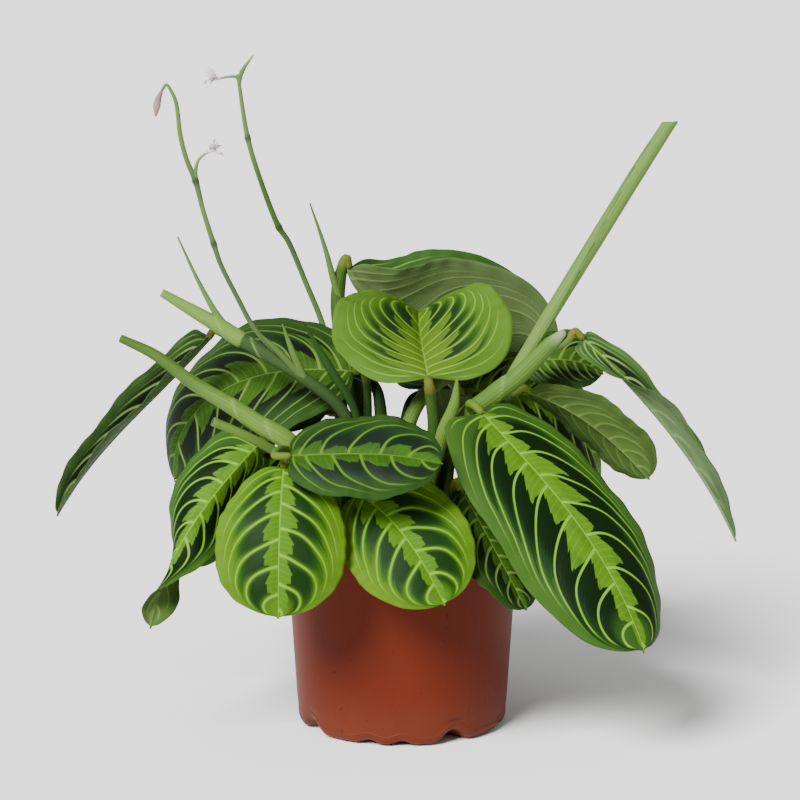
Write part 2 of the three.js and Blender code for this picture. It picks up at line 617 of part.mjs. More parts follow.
// A flower's petals leave the throat's mouth all round, spread from its direction by an angle.
function flowerSolid(flower) {
  const throat = toSolid(tubeGeometry(flower.throat, flower.radii));
  const [before, mouth] = flower.throat.slice(-2).map((point) => new THREE.Vector3(...point));
  const forward = mouth.clone().sub(before).normalize();
  const level = new THREE.Vector3(0, 1, 0).cross(forward).normalize();
  const petals = [];
  for (let place = 0; place < flower.petals; place += 1) {
    const turn = radians(flower.turn + 360 * place / flower.petals);
    const outward = level.clone().applyAxisAngle(forward, turn);
    const spread = radians(flower.petal.spread);
    const rib = forward.clone().multiplyScalar(Math.cos(spread)).addScaledVector(outward, Math.sin(spread));
    const leaf = {
      base: mouth.clone().addScaledVector(forward, -0.8).toArray(), length: flower.petal.length,
      width: flower.petal.width, heading: THREE.MathUtils.radToDeg(Math.atan2(rib.y, rib.x)),
      pitch: THREE.MathUtils.radToDeg(Math.asin(rib.z)), fold: 12, wave: 0, lobe: 0, belly: 0.6,
    };
    petals.push(toSolid(bladeGeometry(bladeGrid(leaf, PETAL_ROWS, 1), PETAL_THICKNESS)));
  }
  return fuse([throat, ...petals]);
}

// A shoot's tubes in one body; one that grows out of another shoot is cut back to clear it.
function shootSolid(name) {
  const whole = fuse(SHOOTS[name].tubes.map((tube) => tubeSolid(tube)));
  const carrier = CARRIED_BY[name];
  if (!carrier) return whole;
  const cutter = fuse(SHOOTS[carrier].tubes.map((tube) => tubeSolid(tube, CLEARANCE)));
  const pieces = whole.subtract(cutter).decompose();
  return pieces.reduce((largest, piece) => (piece.volume() > largest.volume() ? piece : largest));
}

const group = new THREE.Group();

function addPiece(name, solid, color, roughness) {
  const material = new THREE.MeshStandardMaterial({ color: COLOR[color], roughness, metalness: 0 });
  const mesh = new THREE.Mesh(fromSolid(solid), material);
  mesh.name = name;
  group.add(mesh);
}

addPiece('pot', potSolid(), 'pot', 0.55);
addPiece('soil', soilSolid(), 'soil', 0.95);
for (const [name, leaf] of Object.entries(LEAVES)) {
  const grid = bladeGrid(leaf, BLADE_ROWS, leaf.hidden ? HIDDEN_HALF_COLUMNS : BLADE_HALF_COLUMNS);
  addPiece(`leaf_${name}`, toSolid(bladeGeometry(grid, BLADE_THICKNESS)), leaf.color, 0.5);
}
for (const [name, shoot] of Object.entries(SHOOTS)) addPiece(name, shootSolid(name), shoot.color, 0.5);
for (const [name, flower] of Object.entries(FLOWERS)) addPiece(name, flowerSolid(flower), 'petal', 0.6);

export default group;
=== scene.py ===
"""The looks of a potted prayer plant: patterned leaves, shoots, a rolled young leaf, flowers, soil and pot.

Tables and shape functions are in millimetres, and MM turns them into metres where a mesh is made. The
viewer stands on -Y and the origin is the centre of the pot's base.
"""

import math

import bpy
import numpy as np
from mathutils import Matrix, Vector


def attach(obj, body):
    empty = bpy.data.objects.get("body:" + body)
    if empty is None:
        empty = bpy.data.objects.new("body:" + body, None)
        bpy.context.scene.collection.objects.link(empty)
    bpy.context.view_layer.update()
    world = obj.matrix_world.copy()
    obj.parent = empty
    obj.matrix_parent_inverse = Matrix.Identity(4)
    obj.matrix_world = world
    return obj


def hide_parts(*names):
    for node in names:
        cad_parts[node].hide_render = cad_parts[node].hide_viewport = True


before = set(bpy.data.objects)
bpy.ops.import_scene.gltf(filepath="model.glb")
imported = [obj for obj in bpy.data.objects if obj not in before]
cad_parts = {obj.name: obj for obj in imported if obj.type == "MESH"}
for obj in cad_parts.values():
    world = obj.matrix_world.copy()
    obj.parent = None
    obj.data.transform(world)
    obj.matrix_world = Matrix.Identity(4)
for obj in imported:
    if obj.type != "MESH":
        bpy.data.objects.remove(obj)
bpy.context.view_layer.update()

MM = 0.001
DEGREES = np.pi / 180
SEED = 11

# The pot and the soil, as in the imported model.
POT_HEIGHT = 108
POT_FOOT_RADIUS = 51.4
POT_TAPER = 0.0645
POT_WALL = 1.6
RIM_RADIUS = 60
RIM_DROP = 5
FLAT_RADIUS = 34
CONTACT_RADIUS = 45.5
CORNER_HEIGHT = 7
DEEP_NOTCH = 6
SHALLOW_NOTCH = 2
NOTCH_FADE = 14
SOIL_TOP = 96
SOIL_GAP = 0.3
ROOT = 74

# The camera of the photograph: its place and the point it looks at in metres, its lens and its sensor.
CAMERA_PLACE = (0, -1.350, 0.385)
CAMERA_TARGET = (-0.001, 0, 0.1615)
CAMERA_LENS = 125.55
CAMERA_SENSOR = 36

# The studio's light: the sky's strength, and the key light's strength, breadth in degrees and direction.
SKY_STRENGTH = 0.5
KEY_STRENGTH = 8.4
KEY_ANGLE = 24
KEY_FROM = (-0.55, -0.9, 0.85)

# How finely the pieces are made, and how many crumbs lie on the soil.
BLADE_ROWS = 96
BLADE_HALF_COLUMNS = 24
PETAL_ROWS = 16
PETAL_HALF_COLUMNS = 5
SPINE_STEPS = 64
TUBE_STEPS = 10
TUBE_SIDES = 24
POT_SEGMENTS = 240
SOIL_SEGMENTS = 160
CRUMBS = 420

# What all blades share: their thickness, the least half width at both ends, how square the base is, where
# the body ends, how long the cusp at the tip is, where the lobes sit and how many waves the margin has, and
# how high the quilting, the margin's ripple, the groove over the rib and the ridge under it are.
BLADE_THICKNESS = 0.45
BASE_HALF_WIDTH = 1
TIP_HALF_WIDTH = 0.4
BASE_BLUNT = 2.4
BODY_END = 0.985
CUSP = 0.06
LOBE_PLACE = 0.05
MARGIN_WAVES = 2.5
QUILT = 0.55
RIPPLE = 0.35
RIB_GROOVE = 0.35
RIB_RIDGE = 1.1

# The lateral veins: where the first one stands, how much closer they stand at the base, both as a share of
# the rib, and by how much of their spacing the ones on the right are shifted.
FIRST_VEIN = 0.02
VEIN_CROWD = 0.08
VEIN_SHIFT = -0.4

# Tubes: a petiole's end, short of the blade's base and in line with it, the swelling of a joint, a cushion
# and a sheath, how a sheath's collar slants, and the step and turn of a rolled blade's spiral.
PETIOLE_GAP = 0.95
PETIOLE_LEAD = 4
JOINT_SWELL = 0.25
JOINT_REACH = 1.6
CUSHION_SWELL = 0.35
CUSHION_START = 11
CUSHION_FULL = 7
SHEATH_SWELL = 0.07
SHEATH_LENGTH = 22
COLLAR_SLANT = 5
SPIRAL_STEP = 0.14
SPIRAL_TURN = 0.02

# Petals: their thickness and how deep in the flower's throat they start.
PETAL_THICKNESS = 0.3
PETAL_DEPTH = 0.8


def blade(finish, base, length, width, heading, pitch, **more):
    """A row of the table of blades, plain in all that isn't said."""
    plain = dict(roll=0, fold=0, crease=0, curl=0, belly=0.5, wave=1.5, lobe=3, uneven=0, sweep=1)
    given = dict(finish=finish, base=base, length=length, width=width, heading=heading, pitch=pitch)
    return dict(blunt=BASE_BLUNT) | plain | given | more


def tube(radii, *path, **more):
    """A row of the table of shoots: the radii along a tube and the points of its path."""
    plain = dict(leaf=None, pale=0, grey=0, blush=0, cut=False, rolled=False, slant=0, dry_tip=False)
    return plain | dict(radii=radii, path=list(path), joints=(), collars=()) | more


# Leaf blades. Angles are in degrees; one value holds for the whole rib, three are its base, middle and
# tip. Heading 0 points along +X and 90 away from the viewer, pitch is the rise, a positive roll lifts the
# side on the right of the rib, fold lifts both halves, crease only the left one, and curl bends them on.
# Belly is where the blade is widest, blunt how square its end is, lobe how far its base reaches back,
# uneven how much wider its right half is, and sweep how far its veins arch on.
LEAVES = {
    "front_left": blade(
        "lime", (-55.5, -66, 140.5), 75, 64, -93, (-35, -66, -88), fold=4, curl=(-30, -36, -30), belly=0.55,
    ),
    "front_middle": blade(
        "lime", (-22, -60, 127), 73, 60, -40, (-15, -42, -58), roll=(-45, -42, -35), fold=4, curl=-25,
    ),
    "middle": blade("blue", (-52, -74, 147.5), 72, 47, -8, (4, 0, -14), roll=-46, fold=6, curl=-24),
    "right_large": blade(
        "dark", (38, -34, 161), 142, 75, (-36, -38, -54), (-38, -45, -62), roll=(-12, -20, -4), fold=2,
        curl=(-14, -24, -50), belly=0.46, blunt=3.2, lobe=9, uneven=0.08,
    ),
    "right_back": blade(
        "dark", (63, -5, 166.5), 74, 38, 0, (-19, -38, -50), roll=(40, 45, 50), fold=4, curl=10, belly=0.56,
        wave=1, lobe=1, sweep=1.5,
    ),
    "right_small": blade(
        "deep", (59, 8, 179), 42, 40, (5, 0, 0), (8, -5, -40), roll=-40, fold=5, curl=-10, lobe=1,
    ),
    "far_right": blade(
        "dull", (87, -20, 195), 125, 21, (-2, -5, -8), (-42, -52, -66), roll=(-50, 10, 60),
        fold=(-20, 60, 60), curl=(0, 15, 20), belly=0.32, blunt=1.8, sweep=2.2,
    ),
    "top_back": blade(
        "painted_sheen", (-27, 58, 220), 118, 86, (0, 8, 0), (-76, -14, -64), roll=(2, -2, 8), fold=(35, 64, 62),
        curl=(0, 10, 10), belly=0.54, wave=0.5, lobe=4,
    ),
    "heart": blade(
        "heart", (12.5, -24, 176), 82, 94, (94, 93, 92), (20, 11, 30), roll=(0, 4, 0), fold=(8, 32, 45),
        curl=(-30, -20, 0),
    ),
    "back_left": blade(
        "deep", (-24, 15, 173.5), 124, 88, (178, 174, 172), (4, -26, -100), roll=(32, 38, 36),
        fold=(8, 4, -5), curl=(-10, -25, -30),
    ),
    "far_left": blade(
        "dull", (-95.5, 8, 191), 116, 26, (184, 186, 188), (-50, -46, -62), roll=(40, 45, 45),
        fold=(40, 50, 50), curl=30, belly=0.42, sweep=2.2,
    ),
    "left_low": blade(
        "dark", (-69.5, -30, 144.5), 104, 44, -148, (-40, -52, -80), roll=(25, 12, -150),
        crease=(-80, -50, 0), curl=(-20, -30, -10), belly=0.3, blunt=1.4, uneven=0.15, lobe=5,
    ),
    "left_behind": blade(
        "dark", (-41.5, 4, 142), 94, 54, (192, 196, 200), (-10, -45, -75), roll=(8, 4, 10), fold=-5,
        curl=-20, lobe=2,
    ),
    "right_low": blade(
        "deep", (28.5, -46, 125.5), 66, 44, (-44, -42, -38), (-50, -52, -56), fold=5, curl=-20, lobe=1,
    ),
    "right_low_back": blade(
        "dark", (36, -10, 135), 84, 44, -25, (-5, -46, -70), roll=-20, fold=-5, curl=-20, lobe=1,
    ),
    "rear_left_high": blade(
        "dark", (-46, 42, 172), 90, 66, (160, 156, 150), (8, -16, -80), roll=(20, 30, 20), fold=8, curl=-30,
    ),
    "rear_right_high": blade(
        "dark", (35, 29, 161), 90, 68, 8, (8, -35, -80), roll=(-34, -38, -15), fold=8, curl=-30,
    ),
    "rear_middle": blade("dark", (15, 36, 162), 124, 68, (72, 68, 62), (15, -28, -85), fold=8, curl=-30),
    "rear_left_mid": blade(
        "dark", (-4, 44, 140), 112, 62, (106, 110, 114), (-5, -40, -80), fold=6, curl=-30,
    ),
    "rear_left_low": blade(
        "dark", (-37, 31, 150), 104, 64, (160, 156, 154), (10, -50, -82), roll=(10, 5, 0), fold=4, curl=-30,
        lobe=1,
    ),
    "rear_right_low": blade("dark", (36, 34, 130), 98, 60, (45, 42, 40), (5, -50, -80), fold=4, curl=-30),
    "rear_low": blade("dark", (-2, 50, 126), 92, 62, (92, 95, 95), (0, -50, -85), fold=4, curl=-30),
    "right_side": blade("dark", (55, 10, 124), 76, 47, 13, (0, -50, -78), fold=4, curl=-25, lobe=2),
}

# Shoots: each piece is made of the tubes listed under it. A tube that names a leaf ends at its rib, in a
# swollen cushion. Pale is how light its green is, grey how dull, blush how red the cushion. A cut tube
# starts hollow, a rolled one is a rolled blade, and joints and collars are counted in points of the path.
SHOOTS = {
    "shoot_left": [
        tube(
            [2, 2.7, 3.4, 4, 4.3, 4.5, 4, 4, 4], (-136, -14, 194), (-119.5, -17, 186.5), (-101, -21, 173.5),
            (-82.5, -26, 163), (-67.5, -30, 154), (-53, -33, 145.5), (-36, -26, 118), (-30, -20, 98),
            (-28, -18, ROOT), pale=[0.25, 0.3, 0.4, 0.6, 0.75, 0.7, 0.5, 0.5, 0.5], cut=True,
            collars=[3.2, 4.3],
        ),
        tube(
            [2.2, 2.3, 2.2, 2], (-89, -56, 160.5), (-72, -52, 152), (-56.5, -44, 142), (-49, -32, 136.5),
            pale=0.6, cut=True,
        ),
        tube([2, 1.6, 1.4], (-57.5, -32, 148), leaf="left_low"),
        tube([2, 1.7, 1.5, 1.4], (-50, -34, 139), (-53, -48, 141), leaf="front_left", pale=0.7),
        tube(
            [2, 1.7, 1.6, 1.4, 1.2], (-51, -36, 142), (-57.5, -56, 147.5), (-59.5, -70, 147), leaf="middle",
            pale=0.6,
        ),
    ],
    "shoot_upper_left": [
        tube(
            [2, 3, 3.8, 4], (-116, -12, 216), (-102.5, -12, 208), (-90.5, -12, 201), (-78.5, -12, 193.5),
            pale=1, grey=0.25, cut=True, collars=[2.2],
        ),
        tube(
            [3.6, 3.4, 3, 3, 3.2, 3.4, 3.4], (-80, -12, 194.5), (-68, -14, 187.5), (-49.5, -17, 176.5),
            (-27.5, -15, 156.5), (-22, -8, 128), (-15, -1, 98), (-14, 0, ROOT), pale=0.12, grey=0.6,
            collars=[0.8],
        ),
        tube([2, 1.8, 1.6, 1.5], (-75.5, -10, 190), (-83, -2, 191), leaf="far_left", blush=0.4),
        tube(
            [0.4, 1, 1.7, 2], (-108, -12, 243), (-98.5, -12, 222), (-89, -12, 204.5), (-79.5, -12, 193),
            pale=0.8, grey=[1, 0.6, 0.3, 0],
        ),
        tube([0.4, 1.6, 2], (-69.5, -20.5, 198), (-59, -20.5, 188), (-48.5, -18, 176), pale=0.5, grey=0.5),
        tube(
            [0.4, 1.6, 2], (-57.5, -20, 201.5), (-53, -20.5, 189), (-47.5, -18, 175.5), pale=0.6, grey=0.3,
        ),
        tube(
            [0.4, 2.2, 2, 1.5], (-47.5, -20, 202.5), (-35.5, -20, 181.5), (-22.5, -17, 157.5),
            (-21, -9, 124),
        ),
    ],
    "flower_stalk_left": [
        tube(
            [1.4, 1.3, 1.2, 1.2, 1.3, 1.2, 1.4, 1.2, 1.2, 1, 0.8, 0.7, 0.7], (-52, -15.5, 178.5),
            (-70.5, -15.5, 198), (-79.5, -16, 214.5), (-87.5, -16, 231), (-90.5, -15, 240),
            (-95.5, -14, 256), (-99, -13, 270), (-103, -12, 279.5), (-106, -12, 291), (-108, -12, 307.5),
            (-110.5, -12, 313.5), (-112.5, -12, 316), (-114.5, -12, 313.5),
            pale=[0.5, 0.5, 0.4, 0.4, 0.5, 0.7, 0.4, 0.6, 0.8, 0.8, 0.9, 0.9, 0.9],
            grey=[1, 1, 1, 1, 0.8, 0.5, 1, 0.6, 0.3, 0.5, 0.9, 1, 1], joints=[4, 6],
        ),
        tube(
            [1.1, 1, 0.7, 0.6], (-98.5, -13, 269.5), (-99, -13, 274.5), (-97.5, -13, 280),
            (-94.5, -13, 283), pale=0.8, grey=0.6, dry_tip=True,
        ),
    ],
    "flower_stalk_right": [
        tube(
            [1.8, 1.8, 1.6, 1.5, 1.4, 1.4, 1.5, 1.3, 1.3, 0.9], (-17, 26, ROOT), (-18, 28, 98),
            (-32.5, 50, 163.5), (-41, 58, 192.5), (-49, 56, 213), (-57.5, 50, 234.5), (-62, 49, 241.5),
            (-70.5, 47, 264), (-77, 45, 286.5), (-81.5, 43, 317.5),
            pale=[0.2, 0.2, 0.4, 0.7, 0.8, 0.4, 0.3, 0.3, 0.8, 0.9],
            grey=[0.5, 0.5, 0.5, 0.5, 0.6, 1, 0.2, 0.4, 0.6, 0.5], joints=[6, 8],
        ),
        tube(
            [0.9, 0.8, 0.6, 0.6], (-81, 43, 315.5), (-82.5, 43, 317), (-86.5, 43, 317), (-89.5, 43, 316.5),
            pale=0.8, grey=0.6, dry_tip=True,
        ),
        tube(
            [0.9, 1.2, 0.4], (-81, 43, 313.5), (-79.5, 43, 319.5), (-74, 43, 327.5), pale=0.8, grey=0.8,
            dry_tip=True,
        ),
    ],
    "shoot_top_back": [
        tube(
            [3.6, 3.6, 3.8, 3.8, 3.6, 2, 1.8], (-8, 22, ROOT), (-9, 24, 98), (-20, 40, 150),
            (-32, 56, 192.5), (-32, 59, 212.5), leaf="top_back", pale=0.2, blush=0.1,
        ),
        tube(
            [0.4, 1.2, 1.8, 2], (-46.5, 55, 253), (-39, 55, 230.5), (-35, 56, 215), (-31.5, 57, 203.5),
            pale=0.7, grey=[1, 0.7, 0.3, 0],
        ),
    ],
    "shoot_centre": [
        tube(
            [3.6, 3.6, 3.4, 3.2, 3, 1.9, 1.8], (8, -10, ROOT), (9, -11, 98), (13, -15, 125),
            (15.5, -21, 151.5), (14, -25, 166.5), leaf="heart", pale=0.15, blush=0.3,
        ),
        tube(
            [3, 3.4, 2.8, 0.4], (12, -12, 110), (20, -25, 150), (25, -27, 163.5), (26.5, -27, 177.5),
            pale=0.7,
        ),
    ],
    "shoot_rear_right": [
        tube(
            [3.6, 3.6, 3.6, 3.4, 3, 1.8, 1.7], (0, 2, ROOT), (0, 0, 98), (2.5, -6, 147.5), (10, -2, 163),
            (22, 12, 170), leaf="rear_right_high", pale=0.6,
        ),
    ],
    "shoot_rear_middle": [
        tube(
            [2.6, 2.6, 2.4, 2.2, 1.9, 1.8], (-1, 14, ROOT), (-1, 14, 98), (1, 12, 147), (4.5, 16, 159),
            leaf="rear_middle",
        ),
    ],
    "shoot_rear_left": [
        tube(
            [3.2, 3.2, 3.2, 2.6, 1.9, 1.7, 1.5], (-11, 10, ROOT), (-11, 11, 98), (-10.5, 16, 151.5),
            (-14, 22, 165.5), (-30, 34, 171), leaf="rear_left_high",
        ),
        tube([2, 2, 2, 1.8, 1.6], (-11, 10, ROOT), (-10, 14, 98), (-5, 30, 125), leaf="rear_left_mid"),
    ],
    "shoot_back_left": [
        tube([2.4, 2.4, 2.2, 1.8, 1.6], (-19, 12, ROOT), (-19, 12, 98), (-17, 14, 140), leaf="back_left"),
    ],
    "shoot_right": [
        tube(
            [4, 4.4, 4.5, 4.6, 4.6, 3.8, 2], (19, 0, ROOT), (20, -2, 98), (25.5, -16, 149.5),
            (44.5, -20, 167.5), (55, -22, 176), (71, -22, 192), (77, -22, 197.5), pale=0.5, collars=[3.3],
            dry_tip=True,
        ),
        tube(
            [2, 1.7, 1.5, 1.4], (69, -22, 188.5), (79, -21, 193.5), leaf="far_right", pale=0.5, blush=0.4,
        ),
        tube([2.2, 2, 1.7, 1.6], (35, -18, 156.5), (32.5, -27, 164), leaf="right_large", pale=0.6),
    ],
    "rolled_leaf_right": [
        tube(
            [3.4, 3.9, 4, 3.9, 3.4], (53, -20, 176), (69, -19, 202.5), (95, -14, 244.5), (114, -12, 275.5),
            (128.5, -10, 298), pale=0.8, grey=0.3, rolled=True, slant=2,
        ),
    ],
    "shoot_front": [
        tube(
            [2, 2, 1.8, 1.6, 1.5], (-16, -36, ROOT), (-16, -37, 98), (-17, -42, 118), leaf="front_middle",
            pale=0.5,
        ),
    ],
    "shoot_front_right": [
        tube(
            [2, 2, 1.8, 1.6, 1.5], (22, -32, ROOT), (22, -33, 98), (24, -38, 121), leaf="right_low",
            pale=0.4,
        ),
        tube([2, 2, 1.8, 1.6, 1.5], (22, -32, ROOT), (26, -26, 98), (30, -16, 124), leaf="right_low_back"),
    ],
    "shoot_right_back": [
        tube([2.4, 2.4, 2.2, 1.7, 1.5], (34, 6, ROOT), (35, 6, 98), (42, 1, 145), leaf="right_back"),
        tube([2.4, 2.4, 2, 1.6, 1.4], (34, 6, ROOT), (35, 8, 98), (42, 12, 140), leaf="right_small"),
    ],
    "shoot_left_behind": [
        tube([2, 2, 1.8, 1.6, 1.5], (-30, 4, ROOT), (-31, 4, 98), (-32, 5, 135), leaf="left_behind"),
    ],
    "shoot_rear_left_low": [tube([2, 2, 1.6, 1.5], (-28, 24, ROOT), (-28, 25, 98), leaf="rear_left_low")],
    "shoot_rear_right_low": [tube([2, 2, 1.6, 1.5], (26, 26, ROOT), (27, 26, 98), leaf="rear_right_low")],
    "shoot_rear_low": [tube([2, 2, 1.6, 1.5], (0, 38, ROOT), (0, 39, 98), leaf="rear_low")],
    "shoot_right_side": [tube([2, 2, 1.6, 1.5], (40, -8, ROOT), (41, -7, 98), leaf="right_side")],
}

PALE_SHOOTS = ("shoot_left", "shoot_rear_right", "shoot_right", "rolled_leaf_right")

# Flowers: a throat that starts just past the stalk's end, and petals round its mouth. The bud is closed.
FLOWERS = {
    "flower_left_open": dict(
        throat=tube([0.6, 0.9, 1.2], (-94, -13, 283.3), (-92.5, -13, 284.2), (-90.5, -13.5, 285)),
        petals=5, turn=20, length=6, width=4.4, spread=50,
    ),
    "flower_right_open": dict(
        throat=tube([0.6, 0.9, 1.2], (-90.1, 43, 316.4), (-92, 43, 316.2), (-94, 42.5, 316.4)),
        petals=5, turn=60, length=6.5, width=4.6, spread=55,
    ),
    "flower_left_bud": dict(
        throat=tube(
            [0.7, 1.5, 1.9, 0.7], (-114.8, -12, 312.8), (-116.3, -12, 309.5), (-117.3, -12, 305.5),
            (-117.8, -12, 301.5),
        ),
        petals=0,
    ),
}


# Shader maths.


def maths(operation):
    """A method of Value that adds one Math node, fed by its own socket and by what it is given."""

    def method(*values):
        return values[0].shade.node("ShaderNodeMath", {"operation": operation}, dict(enumerate(values)))

    return method


class Value:
    """A socket whose arithmetic adds Math nodes to its material."""

    def __init__(self, shade, socket):
        self.shade = shade
        self.socket = socket

    __add__ = __radd__ = maths("ADD")
    __mul__ = __rmul__ = maths("MULTIPLY")
    __sub__ = maths("SUBTRACT")
    __truediv__ = maths("DIVIDE")
    absolute = maths("ABSOLUTE")
    fraction = maths("FRACT")
    whole = maths("FLOOR")
    root = maths("SQRT")
    above = maths("GREATER_THAN")
    least = maths("MINIMUM")
    most = maths("MAXIMUM")

    def __rsub__(self, other):
        return self.shade.node("ShaderNodeMath", {"operation": "SUBTRACT"}, {0: other, 1: self})

    def rise(self, low, high):
        """0 below low, 1 above high and an S-curve between them."""
        sockets = {"Value": self, "From Min": low, "From Max": high}
        return self.shade.node("ShaderNodeMapRange", {"interpolation_type": "SMOOTHSTEP"}, sockets)


class Shade:
    """A material under construction: node() adds any node and returns one of its outputs."""

    def __init__(self, name):
        self.material = bpy.data.materials.new(name)
        self.material.use_nodes = True
        self.tree = self.material.node_tree
        self.tree.nodes.clear()

    def node(self, kind, settings=None, sockets=None, output=0):
        made = self.tree.nodes.new(kind)
        for key, value in (settings or {}).items():
            setattr(made, key, value)
        for key, value in (sockets or {}).items():
            if isinstance(value, Value):
                self.tree.links.new(value.socket, made.inputs[key])
            else:
                made.inputs[key].default_value = value
        return Value(self, made.outputs[output]) if made.outputs else None

    def attribute(self, name):
        return self.node("ShaderNodeAttribute", {"attribute_name": name}, output="Fac")

    def place(self):
        return self.node("ShaderNodeTexCoord", output="Object")

    def noise(self, place, scale, detail, roughness=0.5):
        """Noise at a place, which may be three values of its own."""
        if isinstance(place, tuple):
            place = self.node("ShaderNodeCombineXYZ", {}, dict(enumerate(place)))
        sockets = {"Vector": place, "Scale": scale, "Detail": detail, "Roughness": roughness}
        return self.node("ShaderNodeTexNoise", {}, sockets)

    def mix(self, share, first, second):
        """One colour with a share of another over it; a tuple is a colour as seen in the photograph."""
        first, second = (srgb(*color) if isinstance(color, tuple) else color for color in (first, second))
        sockets = {"Factor": share, 6: first, 7: second}
        return self.node("ShaderNodeMix", {"data_type": "RGBA"}, sockets, output=2)

    def layers(self, color, *coats):
        """A colour with coats over it, each a share and a colour."""
        for share, coat in coats:
            color = self.mix(share, color, coat)
        return color

    def finish(self, color, roughness, height=None, depth=0.0, **constants):
        sockets = {"Base Color": color, "Roughness": roughness}
        sockets.update({key.replace("_", " "): value for key, value in constants.items()})
        if height is not None:
            bump = {"Height": height, "Strength": 1.0, "Distance": depth}
            sockets["Normal"] = self.node("ShaderNodeBump", {}, bump)
        surface = self.node("ShaderNodeBsdfPrincipled", {}, sockets)
        self.node("ShaderNodeOutputMaterial", {}, {"Surface": surface})
        return self.material


def srgb(red, green, blue, share=1):
    """A share of a colour as seen in the photograph, 0 to 255, made linear."""
    seen = np.array([red, green, blue]) / 255
    linear = np.where(seen < 0.04045, seen / 12.92, ((seen + 0.055) / 1.055) ** 2.4)
    return [*(share * linear).tolist(), 1.0]


# Shapes, in millimetres.


def smooth(value, low, high):
    """0 up to low, 1 from high on and an S-curve between, also where low is the larger of the two."""
    share = np.clip((value - low) / (high - low), 0, 1)
    return share * share * (3 - 2 * share)


def along(value, u):
    """A value at share u of a rib: the quadratic through its base, middle and tip values."""
    base, middle, tip = [value] * 3 if np.isscalar(value) else value
    return base * (1 - u) * (1 - 2 * u) + 4 * middle * u * (1 - u) + tip * u * (2 * u - 1)


def outline(u, belly, blunt):
    """Half width as a share of the largest: an egg-shaped super-ellipse with a short drawn-out tip."""
    body = np.clip(u / BODY_END, 0, 1) ** (math.log(0.5) / math.log(belly))
    power = np.where(body > 0.5, blunt, BASE_BLUNT)
    egg = np.sqrt(np.clip(1 - np.abs(2 * body - 1) ** power, 0, 1))
    cusp = np.clip(1 - u, 0, CUSP) * (u > 0.5)
    return np.maximum(egg, cusp)


def rib_frame(row, u):
    """Forward, sideways and upward directions of the rib at each share u, turned by the blade's angles."""
    heading, pitch, roll = (along(row[key], u) * DEGREES for key in ("heading", "pitch", "roll"))
    level = np.cos(pitch)
    forward = np.stack([level * np.cos(heading), level * np.sin(heading), np.sin(pitch)], -1)
    flat_side = np.stack([np.sin(heading), -np.cos(heading), 0 * heading], -1)
    flat_up = np.cross(flat_side, forward)
    cos, sin = np.cos(roll)[..., None], np.sin(roll)[..., None]
    return forward, flat_side * cos + flat_up * sin, flat_up * cos - flat_side * sin


def blade_grid(row, rows, half_columns):
    """Points across a blade with their shares u along the rib and v across, -1 to 1, and its half width.

    The rib adds up even steps along its direction, and the rows stand closer at both its ends. Each half
    is an arc that leaves the rib at the fold angle and bends by the curl: out = w (sin(a + c s) - sin a) / c
    and rise = w (cos a - cos(a + c s)) / c for the half width w, the fold a, the curl c and s = |v|. The
    margin waves by a sine along the rib, and beside the petiole the lobes are set back by
    near exp(1 - near) s^1.5, near being u / LOBE_PLACE.
    """
    steps = np.linspace(0, 1, SPINE_STEPS + 1)
    forward = rib_frame(row, steps)[0]
    mean = (forward[1:] + forward[:-1]) / 2 * row["length"] / SPINE_STEPS
    rib = np.vstack([np.zeros(3), np.cumsum(mean, 0)]) + np.array(row["base"])
    even = np.linspace(0, 1, rows + 1)
    u = 0.45 * even + 0.55 * (0.5 - 0.5 * np.cos(np.pi * even))
    center = np.stack([np.interp(u, steps, rib[:, axis]) for axis in range(3)], -1)
    _, side, up = rib_frame(row, u)
    ahead = np.cross(up, side)
    v = np.linspace(-1, 1, 2 * half_columns + 1)
    share = outline(u, row["belly"], row["blunt"])
    half = row["width"] / 2 * share + BASE_HALF_WIDTH * (1 - u) ** 8 + TIP_HALF_WIDTH * u ** 20
    u, share, half = u[:, None], share[:, None], half[:, None]
    s, sign = np.abs(v)[None, :], np.sign(v)[None, :]
    fold = (along(row["fold"], u) + along(row["crease"], u) * (sign < 0)) * DEGREES
    curl = along(row["curl"], u) * DEGREES
    curl = np.where(np.abs(curl) < 1e-4, 1e-4, curl)
    out = half * (np.sin(fold + curl * s) - np.sin(fold)) / curl * (1 + row["uneven"] * sign)
    rise = half * (np.cos(fold) - np.cos(fold + curl * s)) / curl
    rise = rise + row["wave"] * s ** 2 * np.sin(2 * np.pi * (MARGIN_WAVES * u + 0.25 * sign)) * share
    near = u / LOBE_PLACE
    back = row["lobe"] * near * np.exp(1 - near) * s ** 1.5
    points = center[:, None] + side[:, None] * (sign * out)[..., None] + up[:, None] * rise[..., None]
    return points - ahead[:, None] * back[..., None], u + 0 * v, v + 0 * u, half + 0 * v


def grid_normals(points):
    """Upward unit normals of a blade's grid, from its neighbouring rows and columns."""
    normals = np.cross(np.gradient(points, axis=1), np.gradient(points, axis=0))
    return normals / (np.linalg.norm(normals, axis=-1, keepdims=True) + 1e-9)


def vein_share(u, v, slim, sweep):
    """The share of the rib from which the vein through (u, v) starts.

    Lateral veins leave the rib steeply and arch on towards the tip, along the margin: u - start = g, with
    g = 0.35 slim |v| + 0.14 sweep v^2 / (1.06 - |v|), slim being the blade's half width over its length.
    Near the base they fan out of the petiole: start = (r + sqrt(r^2 + 0.3 u)) / 2 for r = u - g.
    """
    s = np.abs(v)
    ahead = u - (0.35 * slim * s + 0.14 * sweep * s ** 2 / (1.06 - s))
    return (ahead + np.sqrt(ahead ** 2 + 0.3 * u)) / 2


